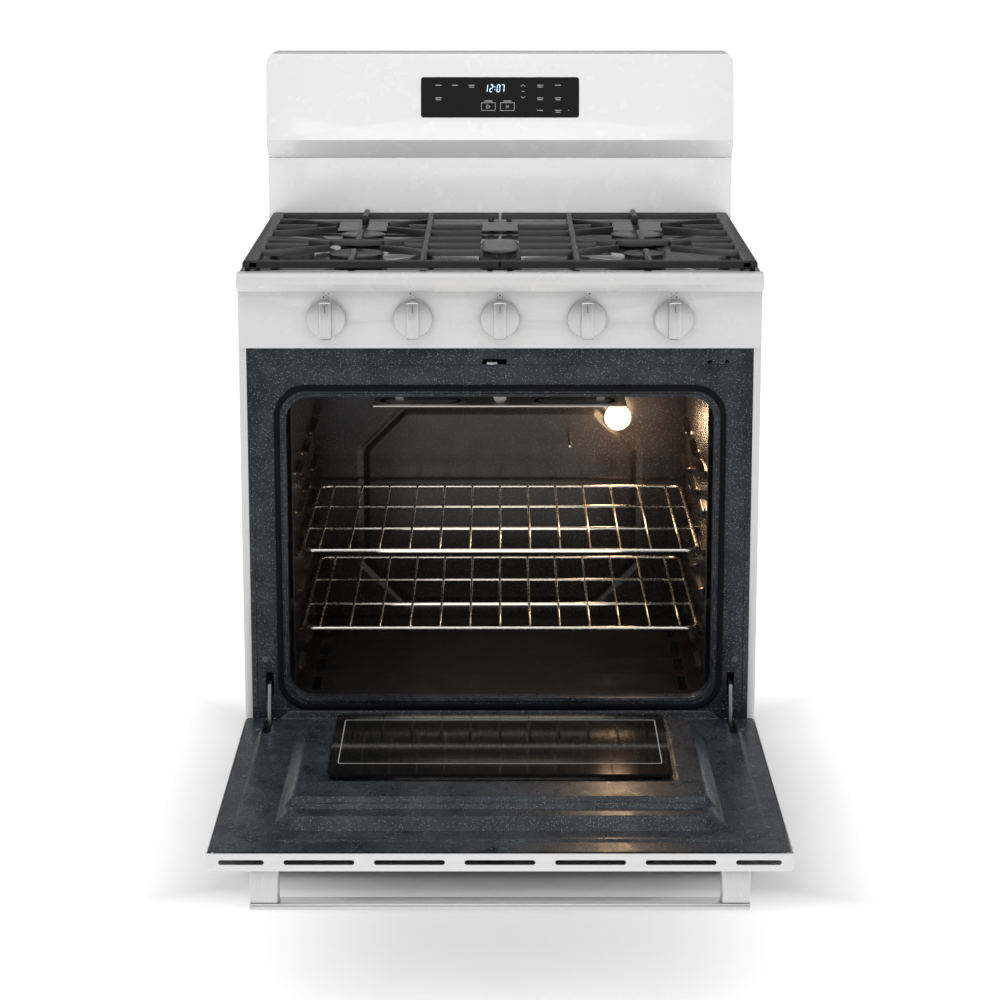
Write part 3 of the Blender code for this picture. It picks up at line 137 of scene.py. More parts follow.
class Form:
    """Closed shells gathered into one mesh, each turned to face outwards."""

    def __init__(self) -> None:
        """Start with nothing."""
        self.points: list[Array] = []
        self.faces: list[list[int]] = []
        self.total = 0

    def grid(self, points: Array, ring: bool = False) -> "Form":
        """Add a shell from rows of closed loops.

        Args:
            points: Rows, points of a row, x y z. Each row is closed on itself.
            ring: Whether the last row joins the first. If not, flat ends close the shell.

        Returns:
            This form.
        """
        rows, columns = points.shape[:2]
        index = np.arange(rows * columns).reshape(rows, columns)
        below = index if ring else index[:-1]
        above = np.roll(index, -1, 0) if ring else index[1:]
        quads = np.stack([below, np.roll(below, -1, 1), np.roll(above, -1, 1), above], -1).reshape(-1, 4)
        flat = points.reshape(-1, 3)
        centred = flat - flat.mean(0)
        a, b, c, d = (centred[quads[:, k]] for k in range(4))
        volume = np.einsum("ij,ij->", a, np.cross(b, c)) + np.einsum("ij,ij->", a, np.cross(c, d))
        ends = []
        if not ring:
            ends = [index[0][::-1], index[-1]]
            for end in ends:
                p = centred[end]
                fan = np.cross(p[1:-1], p[2:])
                volume += float((p[0] * fan).sum())
        if volume < 0:
            quads = quads[:, ::-1]
            ends = [end[::-1] for end in ends]
        self.points.append(flat)
        self.faces += (quads + self.total).tolist() + [(end + self.total).tolist() for end in ends]
        self.total += len(flat)
        return self

    def stack(self, sizes: Array, axis: Axis, middle: tuple[float, float], arc: int = 6) -> "Form":
        """Add a stack of rounded rectangles.

        Args:
            sizes: Rows of width, height, corner radius and place along the axis.
            axis: The axis of the stack.
            middle: The middle of every rectangle, in the plane square to the axis.
            arc: Points on each corner.

        Returns:
            This form.
        """
        rows = []
        for width, height, radius, along in sizes:
            flat = outline(width, height, radius, arc) + np.array(middle)
            rows.append(lay(flat[:, 0], flat[:, 1], np.full(len(flat), along), axis))
        return self.grid(np.stack(rows))

    def block(self, low: Place, high: Place, edge: float, corner: float = 0.0, axis: Axis = Axis.Z) -> "Form":
        """Add a box with rounded edges: outlines that shrink along a quarter circle at both ends.

        Args:
            low: Lowest corner.
            high: Highest corner.
            edge: Radius of the edges at the two ends.
            corner: Radius of the four edges along the axis.
            axis: The axis of those four edges.

        Returns:
            This form.
        """
        i, j, k = axis.value
        angle = np.linspace(0, np.pi / 2, 4)
        inset = edge * (1 - np.sin(angle))
        rise = edge * (1 - np.cos(angle))
        width, height = high[i] - low[i], high[j] - low[j]
        corner = max(corner, edge)
        rows = [(width - 2 * a, height - 2 * a, corner - a, low[k] + b) for a, b in zip(inset, rise)]
        rows += [(width - 2 * a, height - 2 * a, corner - a, high[k] - b) for a, b in zip(inset[::-1], rise[::-1])]
        return self.stack(np.array(rows), axis, ((low[i] + high[i]) / 2, (low[j] + high[j]) / 2), 5)

    def lathe(self, profile: Array, centre: Place, axis: Axis, steps: int = 48) -> "Form":
        """Turn a profile of radius and height about an axis.

        Args:
            profile: Rows of radius and place along the axis, from the centre point.
            centre: The point that the profile is measured from.
            axis: The axis of turning.
            steps: Points round a turn.

        Returns:
            This form.
        """
        turn = np.arange(steps) * 2 * np.pi / steps
        radius = profile[:, :1] * np.ones((1, steps))
        points = lay(radius * np.cos(turn), radius * np.sin(turn), np.repeat(profile[:, 1:2], steps, 1), axis)
        return self.grid(points + np.array(centre))

    def sweep(
        self, path: Array, profile: Array, normal: Place, closed: bool = False, scale: Array | None = None,
    ) -> "Form":
        """Carry a profile along a path: first profile axis square to the path and the normal, second near the normal.

        Args:
            path: Points of the path.
            profile: Closed outline of the section.
            normal: A direction that the path never runs along.
            closed: Whether the path closes on itself.
            scale: Factor on the section at each point, or None.

        Returns:
            This form.
        """
        ahead = np.roll(path, -1, 0) - np.roll(path, 1, 0) if closed else np.gradient(path, axis=0)
        ahead = ahead / np.linalg.norm(ahead, axis=1, keepdims=True)
        side = np.cross(ahead, np.array(normal, float))
        side = side / np.linalg.norm(side, axis=1, keepdims=True)
        up = np.cross(side, ahead)
        size = np.ones(len(path)) if scale is None else scale
        x = profile[None, :, 0, None] * size[:, None, None]
        y = profile[None, :, 1, None] * size[:, None, None]
        return self.grid(path[:, None] + x * side[:, None] + y * up[:, None], ring=closed)

    def wire(self, path: Array, radius: float, normal: Place, sides: int = 10, closed: bool = False) -> "Form":
        """Add a round wire with domed ends: the section shrinks along a quarter circle at each end.

        Args:
            path: Points of its middle line.
            radius: Its radius.
            normal: A direction that the path never runs along.
            sides: Points round the section.
            closed: Whether the path closes on itself.

        Returns:
            This form.
        """
        turn = np.arange(sides) * 2 * np.pi / sides
        ring = radius * np.stack([np.cos(turn), np.sin(turn)], 1)
        if closed:
            return self.sweep(path, ring, normal, closed=True)
        share = np.array([0.05, 0.3, 0.65])
        first = path[0] + (path[1] - path[0]) / np.linalg.norm(path[1] - path[0]) * radius * share[:, None]
        last = path[-1] + (path[-2] - path[-1]) / np.linalg.norm(path[-2] - path[-1]) * radius * share[::-1, None]
        round_off = np.sqrt(1 - (1 - share) ** 2)
        size = np.concatenate([round_off, np.ones(len(path) - 2), round_off[::-1]])
        return self.sweep(np.concatenate([first, path[1:-1], last]), ring, normal, scale=size)

    def sheet(self, rows: Array, depth: Array) -> "Form":
        """Add a sheet with a hole in it: rows of loops from the hole outwards, and the same rows underneath.

        Args:
            rows: Rows of closed loops on the upper face.
            depth: The way from the upper face to the lower one, x y z.

        Returns:
            This form.
        """
        return self.grid(np.concatenate([rows, (rows + depth)[::-1]]), ring=True)

    def object(self, name: str, sharp: float = 40.0) -> bpy.types.Object:
        """Make the gathered shells one object.

        Args:
            name: The object's name.
            sharp: Edges sharper than this, in degrees, stay crisp.

        Returns:
            The object.
        """
        mesh = bpy.data.meshes.new(name)
        mesh.from_pydata(np.concatenate(self.points).tolist(), [], self.faces)
        mesh.polygons.foreach_set("use_smooth", np.ones(len(mesh.polygons), bool))
        mesh.set_sharp_from_angle(angle=math.radians(sharp))
        mesh.update()
        made = bpy.data.objects.new(name, mesh)
        bpy.context.scene.collection.objects.link(made)
        return made


def bent(points: Array, radius: float, steps: int = 5) -> Array:
    """Round a path's inner corners: each becomes a parabola from one side of the corner to the other.

    Args:
        points: Corner points of the path.
        radius: How far from a corner its bend starts.
        steps: Points of each bend.

    Returns:
        The rounded path.
    """
    before, middle, after = points[:-2], points[1:-1], points[2:]
    start = middle + (before - middle) * (radius / np.linalg.norm(before - middle, axis=1))[:, None]
    end = middle + (after - middle) * (radius / np.linalg.norm(after - middle, axis=1))[:, None]
    t = np.linspace(0, 1, steps)[None, :, None]
    bends = (1 - t) ** 2 * start[:, None] + 2 * t * (1 - t) * middle[:, None] + t**2 * end[:, None]
    return np.concatenate([points[:1], bends.reshape(-1, 3), points[-1:]])


# -------------------------------------------------------------- finishes


class Recipe:
    """A node material in the making, with one Principled shader."""

    def __init__(self, name: str, colour: Colour, roughness: float, metallic: float = 0.0) -> None:
        """Make the material and its shader.

        Args:
            name: The material's name.
            colour: Base colour, linear.
            roughness: Base roughness.
            metallic: How far it is a metal.
        """
        self.material = bpy.data.materials.new(name)
        self.material.use_nodes = True
        self.tree = self.material.node_tree
        self.shader = self.tree.nodes["Principled BSDF"]
        self.set(self.shader, {"Base Color": (*colour, 1.0), "Roughness": roughness, "Metallic": metallic})

    def set(self, node: bpy.types.Node, values: dict[str, object]) -> None:
        """Set input sockets of a node by name, or join them to another socket."""
        for key, value in values.items():
            if isinstance(value, bpy.types.NodeSocket):
                self.tree.links.new(value, node.inputs[key])
            else:
                node.inputs[key].default_value = value

    def add(self, kind: str, values: dict[str, object], **options: str) -> bpy.types.Node:
        """Add a node.

        Args:
            kind: The node's type after "ShaderNode".
            values: Its inputs.
            options: Its own properties.

        Returns:
            The node.
        """
        node = self.tree.nodes.new("ShaderNode" + kind)
        for key, value in options.items():
            setattr(node, key, value)
        self.set(node, values)
        return node

    def place(self, scale: Colour = (1, 1, 1)) -> bpy.types.NodeSocket:
        """Object coordinates, stretched by a scale."""
        source = self.add("TexCoord", {}).outputs["Object"]
        return self.add("Mapping", {"Vector": source, "Scale": scale}).outputs["Vector"]

    def noise(self, size: float, detail: float = 3.0, stretch: Colour = (1, 1, 1)) -> bpy.types.NodeSocket:
        """Noise whose lumps are about a given size in metres.

        Args:
            size: Size of a lump.
            detail: Octaves.
            stretch: Factors on the coordinates.

        Returns:
            Its value, 0 to 1.
        """
        values = {"Vector": self.place(stretch), "Scale": 1 / size, "Detail": detail, "Roughness": 0.6}
        return self.add("TexNoise", values).outputs["Fac"]

    def span(self, value: bpy.types.NodeSocket, start: Pair, end: Pair) -> bpy.types.NodeSocket:
        """Map a value from one range to another.

        Args:
            value: The value.
            start: Low and high end of the range it comes from.
            end: Low and high end of the range it goes to.

        Returns:
            The mapped value.
        """
        ranges = {"Value": value, "From Min": start[0], "From Max": start[1], "To Min": end[0], "To Max": end[1]}
        return self.add("MapRange", ranges).outputs["Result"]

    def blend(self, factor: bpy.types.NodeSocket, first: Colour, second: Colour) -> None:
        """Colour the shader from one colour to another by a factor."""
        mix = self.add("Mix", {}, data_type="RGBA")
        self.set(mix, {"Factor": factor})
        mix.inputs[6].default_value = (*first, 1.0)
        mix.inputs[7].default_value = (*second, 1.0)
        self.set(self.shader, {"Base Color": mix.outputs[2]})

    def rough(self, value: bpy.types.NodeSocket, low: float, high: float) -> None:
        """Let roughness vary from low to high with a value."""
        self.set(self.shader, {"Roughness": self.span(value, (0.3, 0.7), (low, high))})

    def bump(self, height: bpy.types.NodeSocket, strength: float, distance: float) -> None:
        """Raise the surface by a height."""
        node = self.add("Bump", {"Height": height, "Strength": strength, "Distance": distance})
        self.set(self.shader, {"Normal": node.outputs["Normal"]})


@dataclass(frozen=True)
class Finish:
    """A finish with a base colour and a roughness."""

    name: str
    colour: Colour
    roughness: float

    def make(self) -> bpy.types.Material:
        """Build the material."""
        raise NotImplementedError


@dataclass(frozen=True)
class Enamel(Finish):
    """Sprayed and baked enamel or paint: faint orange peel and slight cloudiness under a clear gloss."""

    peel: float = 0.004
    coat: float = 0.5

    def make(self) -> bpy.types.Material:
        """Build the material: two noises, one for the peel and one for the cloudiness."""
        recipe = Recipe(self.name, self.colour, self.roughness)
        cloud = recipe.noise(0.12, 2.0)
        tint = tuple(c * 0.965 for c in self.colour)
        recipe.blend(cloud, self.colour, tint)
        recipe.rough(recipe.noise(0.03, 3.0), self.roughness * 0.85, self.roughness * 1.25)
        recipe.bump(recipe.noise(self.peel, 2.0), 0.06, 0.0004)
        recipe.set(recipe.shader, {"Coat Weight": self.coat, "Coat Roughness": 0.05})
        return recipe.material


@dataclass(frozen=True)
class Speckled(Finish):
    """Porcelain enamel with fine pale specks fired into a dark ground."""

    fleck: Colour = (0.32, 0.36, 0.40)
    size: float = 0.0022
    share: float = 0.40

    def make(self) -> bpy.types.Material:
        """Build the material: small dots of a cell pattern, some bright and some faint, over a mottled ground."""
        recipe = Recipe(self.name, self.colour, self.roughness)
        cells = {"Vector": recipe.place(), "Scale": 1 / self.size, "Randomness": 1.0}
        dots = recipe.add("TexVoronoi", cells, feature="F1")
        near = recipe.span(dots.outputs["Distance"], (0.10, self.share), (1.0, 0.0))
        chance = recipe.add("SeparateColor", {"Color": dots.outputs["Color"]}).outputs["Red"]
        chosen = recipe.span(chance, (0.45, 1.0), (0.0, 1.0))
        spots = recipe.add("Math", {}, operation="MULTIPLY")
        recipe.tree.links.new(near, spots.inputs[0])
        recipe.tree.links.new(chosen, spots.inputs[1])
        haze = recipe.span(recipe.noise(0.05, 4.0), (0.3, 0.75), (0.0, 0.10))
        both = recipe.add("Math", {}, operation="ADD", use_clamp=True)
        recipe.tree.links.new(spots.outputs[0], both.inputs[0])
        recipe.tree.links.new(haze, both.inputs[1])
        recipe.blend(both.outputs[0], self.colour, self.fleck)
        recipe.rough(recipe.noise(0.02, 3.0), self.roughness * 0.8, self.roughness * 1.3)
        recipe.bump(recipe.noise(0.003, 3.0), 0.12, 0.0005)
        recipe.set(recipe.shader, {"Coat Weight": 0.04, "Coat Roughness": 0.10, "Specular IOR Level": 0.22})
        return recipe.material


@dataclass(frozen=True)
class Cast(Finish):
    """Cast metal: pitted grain, uneven sheen."""

    grain: float = 0.0016
    depth: float = 0.35
    metallic: float = 0.0

    def make(self) -> bpy.types.Material:
        """Build the material: fine noise for the grain and a broad one for the sheen."""
        recipe = Recipe(self.name, self.colour, self.roughness, self.metallic)
        recipe.blend(recipe.noise(0.01, 5.0), tuple(c * 1.5 for c in self.colour), tuple(c * 0.6 for c in self.colour))
        recipe.rough(recipe.noise(0.006, 4.0), self.roughness * 0.8, self.roughness * 1.2)
        recipe.bump(recipe.noise(self.grain, 4.0), self.depth, 0.0006)
        return recipe.material


@dataclass(frozen=True)
class Metal(Finish):
    """Rolled, brushed or plated metal: streaks along one axis."""

    stretch: Colour = (1.0, 1.0, 0.02)
    streak: float = 0.0006
    depth: float = 0.08
    contrast: float = 0.88

    def make(self) -> bpy.types.Material:
        """Build the material: noise drawn out along one axis drives colour, roughness and bump."""
        recipe = Recipe(self.name, self.colour, self.roughness, 1.0)
        streaks = recipe.noise(self.streak, 3.0, self.stretch)
        recipe.blend(streaks, self.colour, tuple(c * self.contrast for c in self.colour))
        recipe.rough(streaks, self.roughness * 0.8, self.roughness * 1.25)
        recipe.bump(streaks, self.depth, 0.0002)
        return recipe.material


@dataclass(frozen=True)
class Glass(Finish):
    """Dark glass, printed black from behind, with faint smears on its face."""

    glow: float = 0.0

    def make(self) -> bpy.types.Material:
        """Build the material: broad noise for the smears."""
        recipe = Recipe(self.name, self.colour, self.roughness)
        smear = recipe.noise(0.08, 4.0)
        recipe.blend(smear, self.colour, tuple(c * 1.25 for c in self.colour))
        recipe.rough(smear, self.roughness, self.roughness * 1.15)
        recipe.set(recipe.shader, {"IOR": 1.5})
        if self.glow:
            recipe.set(recipe.shader, {"Emission Color": (*self.colour, 1.0), "Emission Strength": self.glow})
        return recipe.material


@dataclass(frozen=True)
class Braid(Finish):
    """Woven glass-fibre cord with a dusting of graphite."""

    def make(self) -> bpy.types.Material:
        """Build the material: fine noise for the fibres."""
        recipe = Recipe(self.name, self.colour, self.roughness)
        fibres = recipe.noise(0.0012, 5.0)
        recipe.blend(fibres, self.colour, tuple(c * 2.2 for c in self.colour))
        recipe.bump(fibres, 0.5, 0.0006)
        recipe.set(recipe.shader, {"Specular IOR Level": 0.10})
        return recipe.material


@dataclass(frozen=True)
class Glowing(Finish):
    """Floor that glows round the range and not under it: the square without glow under the range is painted shade
    standing in for its shadow.
    """

    glow: float = 0.44
    edge: float = -0.10
    fade: float = 0.10

    def make(self) -> bpy.types.Material:
        """Build the material: the glow rises from the edge of a square under the range, over the fade."""
        recipe = Recipe(self.name, self.colour, self.roughness)
        parts = recipe.add("SeparateXYZ", {"Vector": recipe.place()})
        # Painted shade: the glow falls to nought over a square under the range, so the floor there looks shadowed.
        strength = recipe.span(parts.outputs["Y"], (self.edge - self.fade, self.edge), (self.glow, 0.0))
        rear = recipe.span(parts.outputs["Y"], (0.70, 0.90), (0.0, self.glow))
        across = recipe.add("Math", {}, operation="ABSOLUTE")
        recipe.tree.links.new(parts.outputs["X"], across.inputs[0])
        side = recipe.span(across.outputs[0], (0.42, 0.62), (0.0, self.glow))
        for other in (rear, side):
            larger = recipe.add("Math", {}, operation="MAXIMUM")
            recipe.tree.links.new(strength, larger.inputs[0])
            recipe.tree.links.new(other, larger.inputs[1])
            strength = larger.outputs[0]
        recipe.set(recipe.shader, {"Emission Color": (1.0, 1.0, 1.0, 1.0)})
        recipe.tree.links.new(strength, recipe.shader.inputs["Emission Strength"])
        return recipe.material


@dataclass(frozen=True)
class Palette:
    """Every finish of the range."""

    white: Finish = Enamel("white_enamel", (0.80, 0.80, 0.80), 0.24)
    porcelain: Finish = Speckled("speckled_porcelain", (0.010, 0.013, 0.0175), 0.30)
    liner: Finish = Speckled("oven_liner_porcelain", (0.014, 0.0118, 0.0115), 0.20, (0.12, 0.11, 0.11))
    black: Finish = Enamel("black_enamel", (0.006, 0.006, 0.0065), 0.12, 0.003, 0.6)
    cap: Finish = Cast("burner_cap_enamel", (0.005, 0.005, 0.005), 0.35, 0.0012, 0.15)
    iron: Finish = Cast("cast_iron", (0.0030, 0.0030, 0.0032), 0.46, 0.0011, 0.5)
    stainless: Finish = Metal("brushed_stainless", (0.60, 0.60, 0.60), 0.32)
    chrome: Finish = Metal("chrome_wire", (0.86, 0.83, 0.77), 0.24, (1.0, 1.0, 1.0), 0.004, 0.03)
    zinc: Finish = Metal("zinc_steel", (0.48, 0.49, 0.50), 0.38, (1.0, 1.0, 1.0), 0.012, 0.10, 0.75)
    alloy: Finish = Cast("burner_alloy", (0.030, 0.030, 0.031), 0.50, 0.0014, 0.3, 0.6)
    brass: Finish = Metal("brass", (0.60, 0.43, 0.17), 0.30, (1.0, 1.0, 1.0), 0.004)
    probe: Finish = Metal("probe_steel", (0.55, 0.54, 0.52), 0.25, (1.0, 1.0, 1.0), 0.003)
    cream: Finish = Enamel("cream_enamel", (0.86, 0.81, 0.74), 0.35)
    lamp: Finish = Glass("lamp_glass", (1.0, 0.70, 0.36), 0.15, 2.4)
    glass: Finish = Glass("black_glass", (0.003, 0.003, 0.0034), 0.05)
    pane: Finish = Glass("window_glass", (0.006, 0.006, 0.006), 0.06)
    gasket: Finish = Braid("gasket_braid", (0.005, 0.005, 0.006), 0.9)
    rubber: Finish = Cast("rubber", (0.015, 0.015, 0.015), 0.7, 0.002, 0.1)
    ink: Finish = Enamel("grey_ink", (0.10, 0.10, 0.10), 0.5, 0.002, 0.0)
    pale_ink: Finish = Enamel("pale_ink", (0.48, 0.48, 0.48), 0.5, 0.002, 0.0)
    digits: Finish = Glass("display_glow", (0.55, 0.86, 1.0), 0.4, 1.1)
    # Painted shade: near-black enamel for the broil plate's slot marks, standing in for the shade inside open slots.
    hollow: Finish = Enamel("painted_slot_shade", (0.004, 0.004, 0.004), 0.6, 0.003, 0.0)
    ground: Finish = Glowing("studio_floor", (0.90, 0.90, 0.90), 0.8)


class Workshop:
    """Dresses pieces with finishes and rides new ones on their bodies."""

    def __init__(self) -> None:
        """Start with no material made."""
        self.made: dict[str, bpy.types.Material] = {}
        self.rounding = self.smooth_group()

    def material(self, finish: Finish) -> bpy.types.Material:
        """The material of a finish, made once."""
        if finish.name not in self.made:
            self.made[finish.name] = finish.make()
        return self.made[finish.name]

    def smooth_group(self) -> bpy.types.NodeTree:
        """A node group that shades faces smooth and keeps edges over SMOOTH_BELOW sharp."""
        group = bpy.data.node_groups.new("smooth_by_angle", "GeometryNodeTree")
        group.interface.new_socket("Geometry", in_out="INPUT", socket_type="NodeSocketGeometry")
        group.interface.new_socket("Geometry", in_out="OUTPUT", socket_type="NodeSocketGeometry")
        start = group.nodes.new("NodeGroupInput")
        end = group.nodes.new("NodeGroupOutput")
        faces = group.nodes.new("GeometryNodeSetShadeSmooth")
        edges = group.nodes.new("GeometryNodeSetShadeSmooth")
        edges.domain = "EDGE"
        edges.inputs["Shade Smooth"].default_value = False
        angle = group.nodes.new("GeometryNodeInputMeshEdgeAngle")
        over = group.nodes.new("ShaderNodeMath")
        over.operation = "GREATER_THAN"
        over.inputs[1].default_value = SMOOTH_BELOW
        group.links.new(start.outputs[0], faces.inputs["Geometry"])
        group.links.new(faces.outputs[0], edges.inputs["Geometry"])
        group.links.new(angle.outputs["Unsigned Angle"], over.inputs[0])
        group.links.new(over.outputs[0], edges.inputs["Selection"])
        group.links.new(edges.outputs[0], end.inputs[0])
        return group

    def keep(self, node: str, finish: Finish, bevel: float = 0.0) -> None:
        """Dress a CAD node that keeps its shape.

        Args:
            node: The node's name.
            finish: Its finish.
            bevel: Width of the rounding of its edges, or nought.
        """
        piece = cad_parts[node]
        piece.data.materials.clear()
        piece.data.materials.append(self.material(finish))
        piece.modifiers.new("weld", "WELD").merge_threshold = WELD_GAP
        if bevel:
            rounding = piece.modifiers.new("bevel", "BEVEL")
            rounding.width = bevel
            rounding.segments = 2
            rounding.limit_method = "ANGLE"
            rounding.angle_limit = BEVEL_OVER
            rounding.use_clamp_overlap = True
        piece.modifiers.new("smooth", "NODES").node_group = self.rounding
        LOG.info("kept %s", node)

    def fit(
        self, form: Form, name: str, finish: Finish, body: str, slot: str, *nodes: str, sharp: float = 40.0,
    ) -> bpy.types.Object:
        """Make a new piece, dress it and ride it on its body.

        Args:
            form: Its shells.
            name: Its name.
            finish: Its finish.
            body: The body that it rides on.
            slot: The record's material slot; not used.
            nodes: The CAD nodes that it stands for.
            sharp: Edges sharper than this, in degrees, stay crisp.

        Returns:
            The piece.
        """
        piece = form.object(name, sharp)
        piece.data.materials.append(self.material(finish))
        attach(piece, body)
        if nodes:
            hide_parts(*nodes)
        LOG.info("made %s, %d faces", name, len(piece.data.polygons))
        return piece


# ------------------------------------------------------------ assemblies


@dataclass
class Chassis:
    """Panels, feet and base that the range stands on, and what is screwed to its back."""

    shop: Workshop
    palette: Palette
    screw: float = 0.0042

    def build(self) -> None:
        """Dress the CAD panels and add the screws of the back."""
        for side in ("side_panel_left", "side_panel_right"):
            self.shop.keep(side, self.palette.white, 0.0005)
        self.shop.keep("rear_panel", self.palette.zinc, 0.0003)
        self.shop.keep("base_frame", self.palette.zinc, 0.0004)
        self.shop.keep("gas_manifold", self.palette.zinc, 0.0003)
        for foot in ("front_left", "front_right", "rear_left", "rear_right"):
            self.shop.keep("foot_" + foot, self.palette.rubber, 0.0006)
        self.back()

    def back(self) -> None:
        """Set screw heads that lie within the thickness of the back's box."""
        low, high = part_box("rear_panel")
        face = high.y
        screws = Form()
        head = np.array([
            (0.0003, -0.0010), (self.screw, -0.0010), (self.screw, -0.0004), (0.0026, -0.00002), (0.0003, 0.0),
        ])
        for x in (low.x + 0.012, high.x - 0.012):
            for z in np.linspace(low.z + 0.03, high.z - 0.03, 8):
                screws.lathe(head, (x, face, z), Axis.Y, 14)
        self.shop.fit(screws, "rear_panel_screws", self.palette.zinc, "root", "zinc_steel")


@dataclass
class Backguard:
    """Splash panel, console and its glass touch panel."""

    shop: Workshop
    palette: Palette
    lean: float = 0.027 / 0.137
    proud: float = 0.00018
    stroke: float = 0.0011

    def at(self, x: Array, up: Array, proud: float) -> Array:
        """Points of the leaning face: x across, up along the slope from its lower edge, proud of the glass."""
        low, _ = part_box("control_glass")
        slope = math.atan(self.lean)
        y = low.y + up * math.sin(slope) - proud * math.cos(slope)
        z = low.z + 0.0004 + up * math.cos(slope) + proud * math.sin(slope)
        return np.stack(np.broadcast_arrays(x, y, z), -1)

    def mark(self, form: Form, x: float, up: float, width: float, height: float, turn: float = 0.0) -> None:
        """Add a thin rounded bar to the face.

        Args:
            form: The form that takes it.
            x: Its middle across.
            up: Its middle up the slope.
            width: Its size across.
            height: Its size up.
            turn: Its turn in the face, in degrees.
        """
        flat = outline(width, height, min(width, height) * 0.3, 3)
        angle = math.radians(turn)
        across = x + flat[:, 0] * math.cos(angle) - flat[:, 1] * math.sin(angle)
        rise = up + flat[:, 0] * math.sin(angle) + flat[:, 1] * math.cos(angle)
        form.grid(np.stack([self.at(across, rise, -0.0001), self.at(across, rise, self.proud)]))

    def digit(self, form: Form, lit: str, x: float, up: float, width: float, height: float) -> None:
        """Add one seven-segment digit.

        Args:
            form: The form that takes it.
            lit: Letters a to g of the lit segments.
            x: Its middle across.
            up: Its middle up the slope.
            width: Its size across.
            height: Its size up.
        """
        half, quarter, bar = width / 2, height / 4, self.stroke
        spots = {
            "a": (0, 2 * quarter, 1), "b": (half, quarter, 0), "c": (half, -quarter, 0), "d": (0, -2 * quarter, 1),
            "e": (-half, -quarter, 0), "f": (-half, quarter, 0), "g": (0, 0, 1),
        }
        for letter in lit:
            dx, dy, flat = spots[letter]
            size = (width - bar, bar) if flat else (bar, 2 * quarter - bar * 0.6)
            self.mark(form, x + dx + dy * 0.10, up + dy, *size, turn=0 if flat else -5)

    def hollow_mark(self, form: Form, x: float, up: float, width: float, height: float, line: float) -> None:
        """Add the outline of a rounded box: two bars across and two upright."""
        for sign in (-1, 1):
            self.mark(form, x, up + sign * height / 2, width, line)
            self.mark(form, x + sign * width / 2, up, line, height)

    def build(self) -> None:
        """Dress the CAD console, splash and glass, and print the face."""
        self.shop.keep("backguard_console", self.palette.white, 0.0012)
        self.shop.keep("backguard_splash", self.palette.white, 0.0005)
        self.shop.keep("control_glass", self.palette.glass)
        clock = Form()
        for lit, x in (("bc", -0.0225), ("abdeg", -0.0140), ("abcdef", -0.0025), ("abc", 0.0045)):
            self.digit(clock, lit, x, 0.0475, 0.0042, 0.0115)
        for rise in (0.0452, 0.0500):
            self.mark(clock, -0.0083, rise, 0.0013, 0.0013)
        self.shop.fit(clock, "clock_digits", self.palette.digits, "root", "black_glass")
        signs = Form()
        for x in (-0.0190, 0.0120):
            self.hollow_mark(signs, x, 0.0178, 0.0225, 0.0125, 0.0006)
            self.mark(signs, x, 0.0268, 0.0135, 0.0011)
        for turn, dx, dy, length in (
            (90, -0.0026, 0, 0.0062), (-28, 0.0003, 0.0016, 0.0060), (28, 0.0003, -0.0016, 0.0060),
        ):
            self.mark(signs, -0.0190 + dx, 0.0178 + dy, length, 0.0007, turn)
        for turn in (42, -42):
            self.mark(signs, 0.0120, 0.0178, 0.0068, 0.0007, turn)
        for rise, sign in ((0.0520, 1), (0.0330, -1)):
            for side in (-1, 1):
                self.mark(signs, 0.0375 + side * 0.0017, rise, 0.0044, 0.0007, -side * sign * 38)
        self.mark(signs, 0.0375, 0.0425, 0.0052, 0.0007)
        for x, rise, lines in (
            (-0.100, 0.0525, 1), (-0.073, 0.0525, 1), (-0.046, 0.0525, 2), (-0.100, 0.0320, 2),
            (0.065, 0.0525, 2), (0.094, 0.0525, 1), (0.065, 0.0320, 2), (0.094, 0.0320, 2), (0.065, 0.0118, 1), (0.094, 0.0118, 2),
        ):
            for line in range(lines):
                self.mark(signs, x, rise - 0.0030 * line, 0.0098 - 0.0016 * line, 0.0010)
        self.mark(signs, 0.111, 0.0118, 0.0012, 0.0012)
        self.shop.fit(signs, "touch_marks", self.palette.pale_ink, "root", "black_glass")


